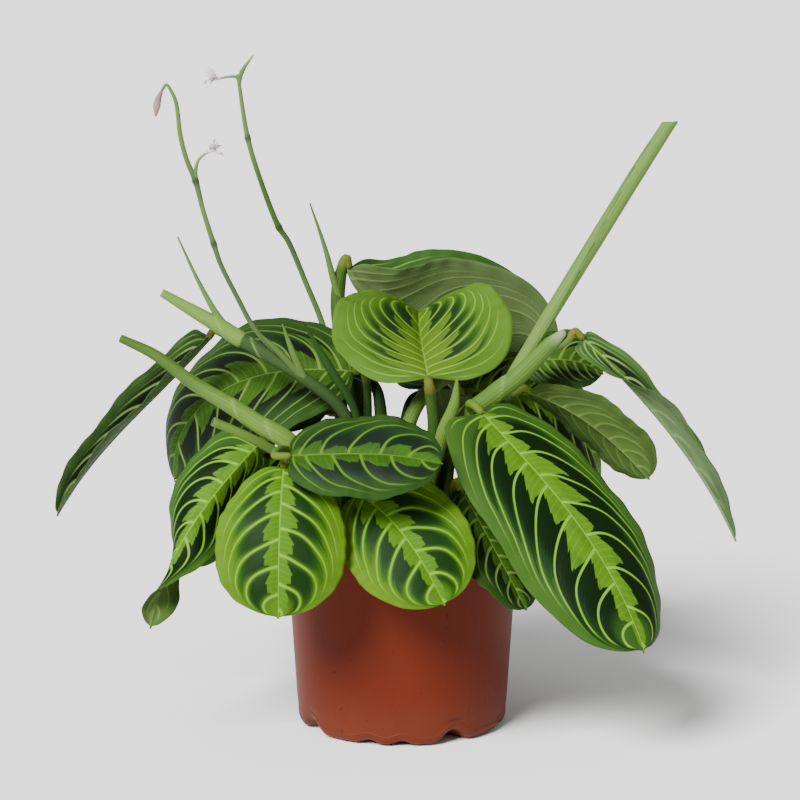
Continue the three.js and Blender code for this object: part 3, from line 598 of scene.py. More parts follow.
def vein_pitch(points, phase):
    """Millimetres between two lateral veins at each grid point: one over the slope of their phase."""
    along_u, along_v = np.gradient(points, axis=0), np.gradient(points, axis=1)
    phase_u, phase_v = np.gradient(phase, axis=0), np.gradient(phase, axis=1)
    pairs = (along_u, along_u), (along_v, along_v), (along_u, along_v)
    uu, vv, uv = (np.sum(a * b, -1) for a, b in pairs)
    slope = phase_u ** 2 * vv - 2 * phase_u * phase_v * uv + phase_v ** 2 * uu
    return 1 / np.sqrt(np.clip(slope / (uu * vv - uv ** 2 + 1e-9), 1e-4, None))


def curve_points(path, count):
    """Centripetal Catmull-Rom curve through the path, at count + 1 even steps of its spans."""
    path = np.array(path, float)
    path = np.vstack([2 * path[0] - path[1], path, 2 * path[-1] - path[-2]])
    t = np.linspace(0, len(path) - 3, count + 1)
    span = np.minimum(t.astype(int), len(path) - 4)
    f = (t - span)[:, None]
    p0, p1, p2, p3 = (path[span + k] for k in range(4))
    steps = p1 - p0, p2 - p1, p3 - p2
    d0, d1, d2 = (np.linalg.norm(step, axis=1, keepdims=True) ** 0.5 for step in steps)
    out = ((p1 - p0) / d0 - (p2 - p0) / (d0 + d1) + (p2 - p1) / d1) * d1
    into = ((p2 - p1) / d1 - (p3 - p1) / (d1 + d2) + (p3 - p2) / d2) * d1
    return p1 + out * f + (3 * (p2 - p1) - 2 * out - into) * f ** 2 + (2 * (p1 - p2) + out + into) * f ** 3


def carried_frames(points):
    """Tangents and two cross directions along a curve, the cross directions carried on without a twist."""
    tangents = np.gradient(points, axis=0)
    tangents /= np.linalg.norm(tangents, axis=1, keepdims=True)
    across = np.cross([0, 1, 0], tangents[0])
    frames = []
    for tangent in tangents:
        across = across - across @ tangent * tangent
        across = across / np.linalg.norm(across)
        frames.append(across)
    first = np.array(frames)
    return tangents, first, np.cross(tangents, first)


# Meshes. A part is its points, faces and attributes.


def make_piece(name, points, faces, materials, attributes=None, slots=None):
    """A smooth mesh object from points in millimetres, with its attributes and material slots."""
    mesh = bpy.data.meshes.new(name)
    mesh.from_pydata((np.asarray(points) * MM).tolist(), [], faces)
    for material in materials:
        mesh.materials.append(material)
    for key, values in (attributes or {}).items():
        layer = mesh.attributes.new(key, "FLOAT", "POINT")
        layer.data.foreach_set("value", np.asarray(values, np.float32).ravel())
    if slots is not None:
        mesh.polygons.foreach_set("material_index", np.asarray(slots, np.int32))
    mesh.polygons.foreach_set("use_smooth", np.ones(len(mesh.polygons), bool))
    mesh.update()
    piece = bpy.data.objects.new(name, mesh)
    bpy.context.scene.collection.objects.link(piece)
    return piece


def join_parts(name, parts, material):
    """One piece from several parts."""
    points, faces, attributes = zip(*parts)
    starts = np.cumsum([0] + [len(part) for part in points]).tolist()
    corners = [[corner + start for corner in face] for part, start in zip(faces, starts) for face in part]
    values = {key: np.concatenate([part[key] for part in attributes]) for key in attributes[0]}
    return make_piece(name, np.vstack(points), corners, [material], values)


def grid_faces(rows, columns, closed=False):
    """Quads of a grid of rows by columns of points; a closed one joins its last column to its first."""
    index = np.arange(rows * columns).reshape(rows, columns)
    here, there = (index, np.roll(index, -1, 1)) if closed else (index[:, :-1], index[:, 1:])
    return np.stack([here[:-1], there[:-1], there[1:], here[1:]], -1).reshape(-1, 4)


def sheet_part(upper, lower, values):
    """A thin sheet from the grids of its upper and lower face, joined round their margin."""
    rows, columns = upper.shape[:2]
    quads = grid_faces(rows, columns)
    below = rows * columns
    index = np.arange(below).reshape(rows, columns)
    margin = np.concatenate([index[0], index[1:, -1], index[-1, -2::-1], index[-2:0:-1, 0]])
    following = np.roll(margin, -1)
    rim = np.stack([margin, margin + below, following + below, following], -1)
    faces = np.vstack([quads, quads[:, ::-1] + below, rim]).tolist()
    attributes = {key: np.tile(value.ravel(), 2) for key, value in values.items()}
    return np.vstack([upper.reshape(-1, 3), lower.reshape(-1, 3)]), faces, attributes


def closed_faces(rings, sides):
    """Faces of a tube of rings: quads between them, and triangles to a pole past the first and the last."""
    faces = grid_faces(rings, sides, closed=True).tolist()
    ring = np.arange(sides)
    following = np.roll(ring, -1)
    count = rings * sides
    last = count - sides
    for near, far, pole in (following, ring, count), (ring + last, following + last, count + 1):
        faces += np.stack([near, far, np.full(sides, pole)], -1).tolist()
    return faces


def leaf_piece(name, row, materials, spacing):
    """A leaf blade: quilted between its sunken lateral veins, with a ridge under the rib.

    The blade's middle surface is raised by the quilting |sin(pi phase)|^0.8, which fades out at the rib, at
    the margin and where veins crowd, sunk by a groove exp(-(r / 1.3)^2) at the distance r from the rib,
    and rippled by a sine that grows with |v|^4. The blade thins out towards its margin.
    """
    points, u, v, half = blade_grid(row, BLADE_ROWS, BLADE_HALF_COLUMNS)
    seed = sum(row["base"]) % 7
    start = vein_share(u, v, row["width"] / 2 / row["length"], row["sweep"])
    sway = 0.007 * np.sin(9 * u + 5 * v + seed) + 0.005 * np.sin(17 * u - 7 * v + 2 * seed)
    start = np.clip(start + sway * np.clip(start / 0.15, 0, 1), FIRST_VEIN / 10, None)
    phase = (start + VEIN_CROWD * np.log(start / FIRST_VEIN)) / spacing
    pitch = vein_pitch(points, phase)
    normals = grid_normals(points)
    reach = np.abs(v) * half
    quilt = np.abs(np.sin(np.pi * (phase + np.where(v > 0, VEIN_SHIFT, 0)))) ** 0.8
    for fade in (reach / 5, (1 - np.abs(v)) / 0.25, u / 0.06, pitch / 10):
        quilt = quilt * np.clip(fade, 0, 1)
    tip = np.clip((1 - u) / 0.1, 0, 1)
    groove = np.exp(-(reach / 1.3) ** 2)
    ripple = np.abs(v) ** 4 * np.sin(2 * np.pi * (9 * u + seed) + 1.3 * np.sign(v))
    middle = points + normals * (tip * (QUILT * quilt - RIB_GROOVE * groove + RIPPLE * ripple))[..., None]
    thin = BLADE_THICKNESS / 2 * (1 - 0.6 * np.abs(v) ** 6)
    ridge = RIB_RIDGE * (1 - 0.75 * u) * np.exp(-(reach / (1.2 * (1 - 0.6 * u))) ** 2)
    values = {"phase": phase, "start": start, "across": v, "along": u, "pitch": pitch, "half": half}
    values["seed"] = np.full_like(u, seed)
    upper, lower = middle + normals * thin[..., None], middle - normals * (thin + ridge)[..., None]
    corners, faces, attributes = sheet_part(upper, lower, values)
    quads = BLADE_ROWS * 2 * BLADE_HALF_COLUMNS
    slots = np.zeros(len(faces))
    slots[quads:2 * quads] = 1
    return make_piece(name, corners, faces, materials, attributes, slots)


def petiole_end(row):
    """The last two points of a petiole, in line with the rib of its blade."""
    forward = rib_frame(row, np.array([0.0]))[0][0]
    return [np.array(row["base"]) - forward * gap for gap in (PETIOLE_GAP + PETIOLE_LEAD, PETIOLE_GAP)]


def end_rings(center, outward, radius, hollow):
    """Centres and radii of the four rings past a tube's last one: a round end or a lip round a hollow."""
    depth = np.array([0.10, 0.02, -0.60, -0.90] if hollow else [0.35, 0.70, 0.90, 0.98])
    width = np.array([0.90, 0.66, 0.58, 0.30]) if hollow else np.sqrt(1 - depth ** 2)
    return center + outward * (radius * depth)[:, None], radius * width


def tube_part(row):
    """One tube: rings carried along its curve and closed at both ends.

    Its radius runs straight between the given ones. Joints swell it a little, a collar is the slanting
    edge of a sheath round it, a petiole ends in a thicker cushion, and a rolled blade's section is a
    spiral whose free edge winds round it.
    """
    path = row["path"] + (petiole_end(LEAVES[row["leaf"]]) if row["leaf"] else [])
    spans = len(path) - 1
    centers = curve_points(path, TUBE_STEPS * spans)
    tangents, first, second = carried_frames(centers)
    place = np.linspace(0, spans, len(centers))
    given = [np.atleast_1d(row[key]) for key in ("radii", "pale", "grey")]
    radius, pale, grey = (np.interp(place / spans, np.linspace(0, 1, len(value)), value) for value in given)
    length = np.concatenate([[0], np.cumsum(np.linalg.norm(np.diff(centers, axis=0), axis=1))])
    joint_marks, collar_marks = (np.interp(row[key], place, length) for key in ("joints", "collars"))
    joint = 0 * length
    for mark in joint_marks:
        joint += np.exp(-((length - mark) / JOINT_REACH) ** 2)
    cushion = smooth(length, length[-1] - CUSHION_START, length[-1] - CUSHION_FULL) * bool(row["leaf"])
    radius = radius * (1 + JOINT_SWELL * joint) + CUSHION_SWELL * cushion
    start_centers, start_radius = end_rings(centers[0], -tangents[0], radius[0], row["cut"])
    end_centers, end_radius = end_rings(centers[-1], tangents[-1], radius[-1], row["rolled"])
    rings = np.vstack([start_centers[::-1], centers, end_centers])
    radius = np.concatenate([start_radius[::-1], radius, end_radius])
    extra = len(start_radius)
    tangents, first, second, length, joint, cushion, pale, grey = (
        np.concatenate([np.repeat(values[:1], extra, 0), values, np.repeat(values[-1:], extra, 0)])
        for values in (tangents, first, second, length, joint, cushion, pale, grey)
    )
    # inside marks the rings that run into a hollow end, and the stem finish paints them dark as painted
    # shade.
    inside = np.zeros_like(length)
    inside[:extra - 1] = row["cut"]
    inside[1 - extra:] = row["rolled"]
    angle = 2 * np.pi * np.arange(TUBE_SIDES) / TUBE_SIDES
    wrap = ((angle[None, :] + SPIRAL_TURN * length[:, None]) / (2 * np.pi)) % 1
    section = 1 - SPIRAL_STEP * (1 - wrap) * row["rolled"]
    collar = np.zeros_like(section)
    upwards = 1 if path[0][2] < path[-1][2] else -1
    for mark in collar_marks:
        past = upwards * (length - mark)[:, None] + COLLAR_SLANT * np.cos(angle)[None, :]
        section = section + SHEATH_SWELL * smooth(past, 0.4, -0.4) * smooth(past, -SHEATH_LENGTH, -1)
        collar += np.exp(-(past / 0.7) ** 2)
    around = first[:, None] * np.cos(angle)[None, :, None] + second[:, None] * np.sin(angle)[None, :, None]
    lean = row["slant"] * smooth(length, length[-1] - 12, length[-1])
    points = rings[:, None] + (radius[:, None] * section)[..., None] * around
    points = points + tangents[:, None] * (lean[:, None] * np.cos(angle)[None, :])[..., None]
    values = {
        "length": length, "joint": joint, "cushion": cushion, "wrap": wrap, "collar": collar,
        "inside": inside, "from_end": length[-1] - length, "turn": np.abs(angle / np.pi - 1)[None, :],
        "pale": pale, "grey": grey, **{key: row[key] for key in ("blush", "rolled", "dry_tip")},
    }
    attributes = {}
    for key, value in values.items():
        value = value[:, None] if np.ndim(value) == 1 else value
        value = value + 0 * section
        attributes[key] = np.concatenate([value.ravel(), value[[0, -1], 0]])
    points = np.vstack([points.reshape(-1, 3), rings[[0, -1]]])
    return points, closed_faces(len(rings), TUBE_SIDES), attributes


def notch_lift(angle):
    """How far deep and shallow notches lift the pot's foot at an angle in degrees from the front."""
    quarter = (angle - 30) % 90

    def bump(center, half_width):
        away = np.minimum(np.abs(quarter - center), 90 - np.abs(quarter - center)) / half_width
        return np.where(away < 1, np.cos(np.minimum(away, 1) * np.pi / 2) ** 2, 0)

    return DEEP_NOTCH * bump(0, 13) + SHALLOW_NOTCH * (bump(41, 9) + bump(60, 9))


def wall_radius(z):
    """The pot's outer radius at a height."""
    return POT_FOOT_RADIUS + POT_TAPER * z


def inner_radius(z):
    """The pot's inner radius at a height."""
    return wall_radius(z) - POT_WALL


def rounded_profile(corners, steps=5):
    """A profile through [radius, height, rounding] corners, each rounded by a quadratic arc."""
    corners = np.array(corners, float)
    places = corners[:, :2]
    profile = [places[0]]
    t = np.linspace(0, 1, steps + 1)[:, None]
    for before, corner, after, rounding in zip(places, places[1:], places[2:], corners[1:-1, 2]):
        ways = before - corner, after - corner
        enter, leave = (
            corner + way / np.linalg.norm(way) * min(rounding, np.linalg.norm(way) / 2) for way in ways
        )
        profile.extend(enter * (1 - t) ** 2 + corner * 2 * t * (1 - t) + leave * t ** 2)
    return np.array(profile + [places[-1]])


def turned_piece(name, profile, segments, material, extra=None):
    """A profile of radius and height turned about the pot's axis, with the foot lifted by its notches.

    The profile starts and ends on the axis; its first and last point close the surface as poles.
    """
    angle = 2 * np.pi * np.arange(segments) / segments
    radius, height = profile[1:-1, 0][:, None], profile[1:-1, 1][:, None]
    x, y = radius * np.sin(angle), -radius * np.cos(angle)
    lift = notch_lift(angle / DEGREES)[None, :] * smooth(radius, FLAT_RADIUS, CONTACT_RADIUS)
    z = height + lift * (1 - smooth(height, CORNER_HEIGHT, NOTCH_FADE))
    if extra is not None:
        z = z + extra(x, y, z)
    poles = [[0, 0, profile[0, 1]], [0, 0, profile[-1, 1]]]
    points = np.vstack([np.stack([x, y, z], -1).reshape(-1, 3), poles])
    return make_piece(name, points, closed_faces(len(radius), segments), [material])


# Finishes. A leaf's pattern: the spacing of its veins as a share of the rib, the width of the pale band and
# how soon its teeth widen, where the blotches end, how soft their ends are, how far they reach between the
# veins, how much they fade beside them, and the colours as the photograph has them.

DARK = dict(
    slot="dark_leaf", spacing=0.15, band_width=0.34, ramp=0.7, blotch_end=0.68, softness=1, fingers=0.21,
    gaps=0, margin=(38, 68, 20), edge=(50, 80, 24), blotch=(6, 24, 3), blotch_rim_and_sheen=(17, 43, 9),
    band=(70, 106, 14), vein=(106, 150, 40), under=(70, 96, 42), under_vein=(88, 114, 54),
)

LIME = dict(
    slot="lime_leaf", spacing=0.19, band_width=0.26, ramp=0.45, blotch_end=0.5, softness=2, fingers=0.46,
    gaps=0.6, margin=(58, 92, 10), edge=(76, 110, 15), blotch=(12, 38, 4), blotch_rim_and_sheen=(28, 60, 8),
    band=(60, 98, 10), vein=(98, 142, 30), under=(70, 92, 42), under_vein=(94, 118, 56),
)

LEAF_FINISHES = {
    "dark": DARK,
    # This finish is a darker copy of DARK for leaves that sit in shade. Its wider band and softer blotches
    # are their own, and its darker colours are partly painted shade.
    "deep": dict(
        DARK, band_width=0.4, ramp=0.6, blotch_end=0.53, softness=1.6, fingers=0.3, gaps=0.2,
        margin=(27, 50, 13), edge=(35, 61, 16), blotch=(9, 20, 10), blotch_rim_and_sheen=(18, 38, 12), band=(44, 73, 14),
        vein=(84, 114, 44),
    ),
    # The grey blotch rim colour of this finish is a painted sheen. Its underside colour is the leaf's own
    # grey-green, partly painted lighter as painted light on a shaded face.
    "painted_sheen": dict(
        DARK, margin=(36, 64, 20), edge=(42, 72, 24), blotch=(8, 19, 8), blotch_rim_and_sheen=(62, 84, 50),
        under=(84, 106, 60), under_vein=(100, 124, 70),
    ),
    "dull": dict(
        DARK, spacing=0.16, band_width=0.2, blotch_end=0.6, softness=1.4, margin=(48, 76, 32),
        edge=(62, 88, 44), blotch=(16, 27, 14), blotch_rim_and_sheen=(34, 52, 26), band=(58, 88, 24), vein=(112, 142, 70),
        under=(84, 106, 68), under_vein=(96, 118, 74),
    ),
    "lime": LIME,
    "heart": dict(
        LIME, spacing=0.15, band_width=0.42, ramp=0.5, blotch_end=0.48, softness=2.2, gaps=0.5,
        margin=(60, 91, 23), edge=(70, 101, 29), blotch=(24, 44, 16), blotch_rim_and_sheen=(38, 64, 18), band=(70, 99, 21),
        vein=(106, 139, 46),
    ),
    "blue": dict(
        slot="blue_leaf", spacing=0.23, band_width=0.3, ramp=0.5, blotch_end=0.56, softness=1.5,
        fingers=0.3, gaps=0.15, margin=(26, 50, 12), edge=(34, 60, 16), blotch=(11, 27, 14),
        blotch_rim_and_sheen=(21, 42, 19), band=(43, 76, 11), vein=(72, 108, 26), under=(60, 78, 38),
        under_vein=(88, 110, 52),
    ),
}


def vein_lines(shade):
    """What both faces of a leaf share: the phase between veins, the veins' lines and the rib."""
    across, phase, pitch, half, place = map(shade.attribute, ("across", "phase", "pitch", "half", "along"))
    reach = across.absolute()
    phase = phase + across.above(0) * VEIN_SHIFT
    between = phase.fraction()
    away = between.least(1 - between) * pitch
    slim = 1 - 0.62 * reach
    line = 1 - away.rise(0.40 * slim, 1.05 * slim)
    line = line * (1 - reach.rise(0.80, 0.94)) * pitch.rise(1.4, 3.4)
    rib_width = 1 - 0.6 * place
    rib = 1 - (reach * half).rise(0.35 * rib_width, 0.8 * rib_width)
    return across, reach, phase, between, line, rib


def leaf_upper(name, looks):
    """A leaf's upper face, drawn along its veins.

    Between two veins the pale middle band widens forwards to a tooth with smaller teeth on it, a dark
    blotch fills the cell beside it with a streaked outer end, and the rest is the margin's green.
    """
    shade = Shade(name)
    across, reach, phase, between, line, rib = vein_lines(shade)
    start, half, seed, place = map(shade.attribute, ("start", "half", "seed", "along"))
    side = across.above(0)
    streaks = shade.noise((start * 60, reach * 2.2, seed + side * 3), 1, 4, 0.6)
    clouds = shade.noise((place * 5, across * 4, seed), 1, 3, 0.55)
    ragged = shade.noise((phase.whole() * 3.7, side * 5, seed), 1, 0)
    small_teeth = (phase * 3 + ragged).fraction()
    tooth = 0.45 + 0.75 * (between / looks["ramp"]).least(1) - 0.75 * ((between - 0.80) / 0.20).most(0)
    band_width = looks["band_width"] * (0.7 + 0.3 * start.rise(0, 0.12)) * (1 - 0.5 * start)
    band_edge = band_width * (0.15 + 1.7 * ragged) * (tooth + 0.14 * small_teeth)
    band = ((band_edge - reach) * half).rise(-0.3, 0.4)
    finger = (between * (1 - between) * 4).most(0).root()
    blotch_end = looks["blotch_end"] + looks["fingers"] * (finger - 0.62) + 0.30 * (ragged - 0.5)
    blotch_end = blotch_end + 0.32 * (streaks - 0.5) + 0.16 * (clouds - 0.5)
    softness = looks["softness"]
    blotch = ((blotch_end - reach) * half).rise(-1.8 * softness, 1.3 * softness) * start.rise(0.04, 0.12)
    blotch = blotch * (1 - start.rise(0.86, 0.97)) * (1 - looks["gaps"] * (1 - finger.rise(0.35, 0.85)))
    deep = ((blotch_end - 0.10 - reach) * half).rise(-2.5, 3)
    fine_ribs = ((phase * 5 + 0.5).fraction() - 0.5).absolute().rise(0.3, 0.5)
    pale_band = shade.layers(
        looks["band"], (0.22 * fine_ribs, looks["vein"]), (0.6 * clouds.rise(0.4, 0.75), looks["margin"]),
    )
    color = shade.layers(
        looks["margin"],
        (reach.rise(0.6, 1), looks["edge"]),
        (0.35 * streaks.rise(0.45, 0.75), looks["edge"]),
        # The blotch's outer rim colour is the leaf's own pattern, and in the finish of top_back it is a
        # painted grey sheen.
        (blotch, shade.mix(deep, looks["blotch_rim_and_sheen"], looks["blotch"])),
        (band, pale_band),
        (line * (1 - 0.4 * reach), looks["vein"]),
        (0.75 * rib, looks["vein"]),
    )
    fine = ((phase * 14).fraction() - 0.5).absolute()
    height = 0.35 * fine * (1 - band) + 0.5 * streaks - 0.6 * line - 0.8 * rib + 0.2 * fine_ribs * band
    roughness = 0.46 + 0.14 * streaks + 0.08 * band
    return shade.finish(color, roughness, height, 0.00022, Specular_IOR_Level=0.07)


def leaf_lower(name, looks):
    """A leaf's lower face: dull olive green, with raised light veins and fine lines along them."""
    shade = Shade(name)
    across, reach, phase, _, line, rib = vein_lines(shade)
    start, seed, place = map(shade.attribute, ("start", "seed", "along"))
    streaks = shade.noise((start * 40, reach * 2, seed), 1, 3, 0.6)
    clouds = shade.noise((place * 4, across * 3, seed + 2), 1, 3)
    lines = ((phase * 9).fraction() - 0.5).absolute().rise(0.3, 0.5)
    shadow = srgb(*looks["under"], share=0.6)
    color = shade.layers(
        looks["under"],
        (0.5 * (1 - streaks), shadow),
        (0.25 * lines, shadow),
        (0.45 * clouds.rise(0.45, 0.7), (54, 58, 28)),
        (0.8 * line, looks["under_vein"]),
        (0.9 * rib, looks["under_vein"]),
    )
    height = 0.5 * line + 0.4 * rib - 0.3 * lines + 0.3 * streaks
    return shade.finish(color, 0.55 + 0.1 * streaks, height, 0.0003, Specular_IOR_Level=0.07)


def stem_finish(name):
    """Stems, sheaths and rolled blades: ribbed lengthwise, darker at joints, blushed at the cushions."""
    shade = Shade(name)
    length, turn, wrap, from_end = map(shade.attribute, ("length", "turn", "wrap", "from_end"))
    pale, grey, blush, rolled = map(shade.attribute, ("pale", "grey", "blush", "rolled"))
    collar, joint, cushion, inside = map(shade.attribute, ("collar", "joint", "cushion", "inside"))
    streaks = shade.noise((turn * 12, length * 0.04, pale * 9), 1, 4, 0.6)
    clouds = shade.noise(shade.place(), 90, 3)
    ribs = ((turn * 9).fraction() - 0.5).absolute().rise(0.25, 0.5)
    # Painted shade: a darker band on both sides of a rolled blade's free edge, in the step where it overlaps
    # the layer under it.
    edge = (wrap.rise(0.90, 0.99) + (1 - wrap.rise(0, 0.03))).least(1) * rolled
    dry = (1 - from_end.rise(0, 9)) * shade.attribute("dry_tip")
    color = shade.layers(
        (34, 60, 20),
        (pale * 0.95 + 0.2 * (clouds - 0.5), (98, 131, 50)),
        (0.75 * grey, shade.mix(pale, (34, 48, 32), (102, 116, 82))),
        (0.20 * ribs * (1 - streaks), (34, 60, 20)),
        (0.35 * streaks.rise(0.5, 0.75) * pale, (108, 144, 58)),
        # Painted shade along the rolled blade's free edge.
        (0.6 * edge, (40, 68, 28)),
        (0.5 * collar, (118, 148, 72)),
        (0.8 * joint, (44, 54, 30)),
        (0.85 * cushion, shade.mix(blush, (84, 104, 30), (104, 62, 34))),
        (0.7 * dry, (138, 152, 112)),
        # Painted shade: the rings inside a hollow cut end or a rolled blade's open end are painted dark
        # green.
        (0.85 * inside, (38, 58, 26)),
    )
    height = ribs * 0.5 + streaks * 0.6
    return shade.finish(color, 0.42 + 0.14 * streaks, height, 0.0002, Specular_IOR_Level=0.09)


def petal_finish(name, pale, flush):
    """Thin pale petals, flushed towards their throat, with fine veins."""
    shade = Shade(name)
    along_petal, across = map(shade.attribute, ("along", "across"))
    veins = shade.noise((across * 9, along_petal * 1.5, 0), 1, 3, 0.6)
    throat = (1 - along_petal).rise(0.35, 1)
    color = shade.layers(pale, (throat * 0.8, flush), (veins.rise(0.5, 0.65) * 0.3, flush))
    return shade.finish(color, 0.55 + 0.1 * veins, veins, 0.0001, Sheen_Weight=0.2)


def pot_finish(name):
    """Terracotta-coloured moulded plastic: satin, cloudy, with flow lines, dust and a few dark specks."""
    shade = Shade(name)
    place = shade.place()
    clouds = shade.noise(place, 26, 4, 0.6)
    grain = shade.noise(place, 900, 2)
    specks = shade.noise(place, 260, 2).rise(0.70, 0.76)
    level = shade.node("ShaderNodeSeparateXYZ", {}, {"Vector": place}, output="Z")
    flow = shade.noise((clouds, level * 14, 3), 2.5, 3, 0.6)
    dust = (1 - (level * 1000).rise(4, 30)) * clouds
    color = shade.layers(
        (84, 28, 12),
        (0.8 * clouds, (99, 36, 17)),
        (0.35 * flow, (72, 25, 12)),
        (0.22 * grain, (62, 22, 12)),
        (0.7 * specks, (38, 18, 14)),
        (0.22 * dust, (104, 74, 56)),
    )
    height = 0.5 * grain + 0.6 * clouds
    return shade.finish(color, 0.42 + 0.14 * clouds, height, 0.00012, Specular_IOR_Level=0.08)


def soil_finish(name):
    """Dark peaty soil, matt, with lighter fibres and crumbs."""
    shade = Shade(name)
    place = shade.place()
    crumbs = shade.noise(place, 420, 5, 0.7)
    patches = shade.noise(place, 70, 3, 0.6)
    color = shade.layers(
        (24, 18, 14),
        (crumbs, (62, 46, 34)),
        (0.5 * patches.rise(0.5, 0.7), (42, 30, 22)),
        (crumbs.rise(0.66, 0.72) * 0.6, (100, 82, 60)),
    )
    return shade.finish(color, 0.9 + 0.08 * crumbs, crumbs + patches, 0.0008, Specular_IOR_Level=0.2)


# The object.


def settle(piece, slot, *nodes):
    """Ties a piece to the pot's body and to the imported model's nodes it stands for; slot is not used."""
    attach(piece, "root")
    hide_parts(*nodes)


def add_leaves():
    """One piece for each blade, with an upper and a lower material."""
    finishes = {
        finish: [leaf_upper(f"leaf_upper_{finish}", looks), leaf_lower(f"leaf_lower_{finish}", looks)]
        for finish, looks in LEAF_FINISHES.items()
    }
    for name, row in LEAVES.items():
        looks = LEAF_FINISHES[row["finish"]]
        piece = leaf_piece(f"blade_{name}", row, finishes[row["finish"]], looks["spacing"])
        settle(piece, looks["slot"], f"leaf_{name}")


def add_shoots():
    """One piece for each shoot, made of all its tubes."""
    finish = stem_finish("stem")
    for name, rows in SHOOTS.items():
        piece = join_parts(f"stems_{name}", [tube_part(row) for row in rows], finish)
        settle(piece, "pale_stem" if name in PALE_SHOOTS else "stem", name)


def petal_parts(flower):
    """The petals round the mouth of a flower's throat, each a small blade spread out from its line."""
    before, mouth = (np.array(point, float) for point in flower["throat"]["path"][-2:])
    forward = (mouth - before) / np.linalg.norm(mouth - before)
    level = np.cross([0, 1, 0], forward)
    level /= np.linalg.norm(level)
    other = np.cross(forward, level)
    for place in range(flower["petals"]):
        turn = (flower["turn"] + 360 * place / flower["petals"]) * DEGREES
        spread = flower["spread"] * DEGREES
        outward = level * math.cos(turn) + other * math.sin(turn)
        rib = forward * math.cos(spread) + outward * math.sin(spread)
        petal = blade(
            "petal", mouth - PETAL_DEPTH * forward, flower["length"], flower["width"],
            math.degrees(math.atan2(rib[1], rib[0])), math.degrees(math.asin(rib[2])),
            fold=12, curl=30, belly=0.6, wave=0.4, lobe=0,
        )
        points, u, v, _ = blade_grid(petal, PETAL_ROWS, PETAL_HALF_COLUMNS)
        lift = grid_normals(points) * PETAL_THICKNESS / 2
        yield sheet_part(points + lift, points - lift, {"along": u, "across": v})


def add_flowers():
    """One piece for each flower: its throat, and its petals where it is open."""
    open_finish = petal_finish("petal", (206, 198, 206), (160, 118, 150))
    bud_finish = petal_finish("bud", (140, 112, 98), (104, 70, 70))
    for name, flower in FLOWERS.items():
        points, faces, extra = tube_part(flower["throat"])
        throat = {"along": extra["length"] / extra["length"].max(), "across": extra["turn"]}
        parts = [(points, faces, throat), *petal_parts(flower)]
        finish = open_finish if flower["petals"] else bud_finish
        settle(join_parts(f"petals_{name}", parts, finish), "petal", name)


def add_pot():
    """The pot's profile runs from the middle of the foot up the wall, over the rim and down inside."""
    rim = POT_HEIGHT - RIM_DROP
    corners = [
        (0, 0, 0), (FLAT_RADIUS, 0, 1), (40, 0, 1), (CONTACT_RADIUS, 0, 1), (50.6, 1.2, 3),
        (wall_radius(5), 5, 0.3), (wall_radius(5.2) - 0.25, 5.3, 0.2),
        (wall_radius(NOTCH_FADE), NOTCH_FADE, 3), (wall_radius(60), 60, 5), (wall_radius(rim), rim, 0.6),
        (RIM_RADIUS, rim, 0.8), (RIM_RADIUS, POT_HEIGHT, 1.2), (inner_radius(POT_HEIGHT), POT_HEIGHT, 1.2),
        (inner_radius(rim), rim, 1), (inner_radius(NOTCH_FADE), NOTCH_FADE, 3),
        (inner_radius(CORNER_HEIGHT), CORNER_HEIGHT, 1.5), (48.2, 3.4, 1.5), (44.5, POT_WALL, 1),
        (40, POT_WALL, 1), (FLAT_RADIUS, POT_WALL, 1), (0, POT_WALL, 0),
    ]
    piece = turned_piece("pot_shell", rounded_profile(corners), POT_SEGMENTS, pot_finish("pot"))
    settle(piece, "pot", "pot")


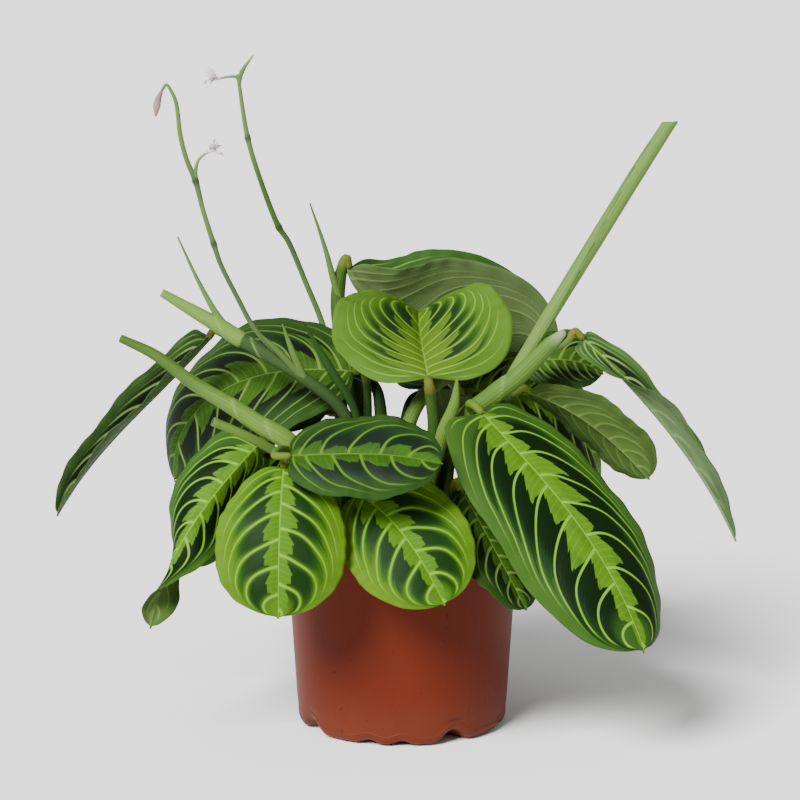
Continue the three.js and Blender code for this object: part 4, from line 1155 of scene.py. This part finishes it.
def add_soil():
    """The soil's lumpy top is a sum of seeded waves; crumbs of many sizes lie half sunk in it."""
    random = np.random.default_rng(SEED)
    waves = random.normal(size=(40, 2)) * 0.35
    phases = random.uniform(0, 2 * np.pi, 40)
    edge = SOIL_TOP - 2
    floor = POT_WALL + SOIL_GAP
    rim = inner_radius(edge) - SOIL_GAP
    side = [(0, floor), (30, floor), (34, floor + 0.8), (44.5, floor + 0.8), (47, 4.8), (50.1, 14.3)]

    def top(radius):
        return SOIL_TOP + 0.4 - 2.4 * (radius / 55) ** 4

    def lumps(x, y, z):
        height = 0
        for (a, b), phase in zip(waves, phases):
            height = height + np.sin(a * x + b * y + phase) / (1 + 2 * math.hypot(a, b))
        return np.where(z > edge - 3, 0.22 * height * (np.hypot(x, y) < 53), 0)

    profile = np.array(side + [(radius, top(radius)) for radius in np.linspace(rim, 0, 60)])
    finish = soil_finish("soil")
    settle(turned_piece("soil_bed", profile, SOIL_SEGMENTS, finish, lumps), "soil", "soil")
    sides, levels = 8, 4
    around = np.linspace(0, 2 * np.pi, sides, endpoint=False)
    level = np.linspace(-1.2, 1.2, levels)[:, None]
    ball = [np.cos(level) * np.cos(around), np.cos(level) * np.sin(around), np.sin(level) + 0 * around]
    ball = np.stack(ball, -1).reshape(-1, 3)
    angle = random.uniform(0, 2 * np.pi, CRUMBS)
    radius = 52 * np.sqrt(random.uniform(0, 1, CRUMBS))
    x, y = radius * np.cos(angle), radius * np.sin(angle)
    center = np.stack([x, y, top(radius) + lumps(x, y, np.full(CRUMBS, SOIL_TOP))], -1)
    size = random.uniform(0.4, 1.5, (CRUMBS, 1, 1)) * random.uniform(0.6, 1.3, (CRUMBS, 1, 3))
    rough = random.uniform(0.8, 1.2, (CRUMBS, len(ball), 1))
    points = (center[:, None] + ball[None] * size * rough).reshape(-1, 3)
    lids = [list(range(sides))[::-1], list(range(len(ball) - sides, len(ball)))]
    shape = grid_faces(levels, sides, closed=True).tolist() + lids
    faces = [[corner + len(ball) * crumb for corner in face] for crumb in range(CRUMBS) for face in shape]
    settle(make_piece("soil_crumbs", points, faces, [finish]), "soil", "soil")


def add_studio():
    """A pale floor under a dim white sky, and one broad light from the upper left."""
    bpy.ops.mesh.primitive_plane_add(size=60, location=(0, 20, 0))
    floor = bpy.context.object
    floor.name = "floor"
    shade = Shade("floor")
    floor.data.materials.append(shade.finish(srgb(250, 250, 250), 0.9, Specular_IOR_Level=0.1))
    world = bpy.data.worlds.new("studio")
    bpy.context.scene.world = world
    world.use_nodes = True
    background = world.node_tree.nodes["Background"]
    background.inputs["Color"].default_value = (1, 1, 1, 1)
    background.inputs["Strength"].default_value = SKY_STRENGTH
    light = bpy.data.lights.new("key", "SUN")
    light.energy = KEY_STRENGTH
    light.angle = math.radians(KEY_ANGLE)
    lamp = bpy.data.objects.new("key", light)
    lamp.rotation_euler = Vector(KEY_FROM).to_track_quat("Z", "Y").to_euler()
    bpy.context.scene.collection.objects.link(lamp)


def add_camera():
    """The camera stands where the photograph was taken from."""
    camera = bpy.data.cameras.new("camera")
    camera.lens = CAMERA_LENS
    camera.sensor_width = CAMERA_SENSOR
    holder = bpy.data.objects.new("camera", camera)
    holder.location = CAMERA_PLACE
    holder.rotation_euler = (Vector(CAMERA_TARGET) - holder.location).to_track_quat("-Z", "Y").to_euler()
    bpy.context.scene.collection.objects.link(holder)
    bpy.context.scene.camera = holder


add_camera()
add_studio()
add_pot()
add_soil()
add_leaves()
add_shoots()
add_flowers()

bpy.context.view_layer.update()
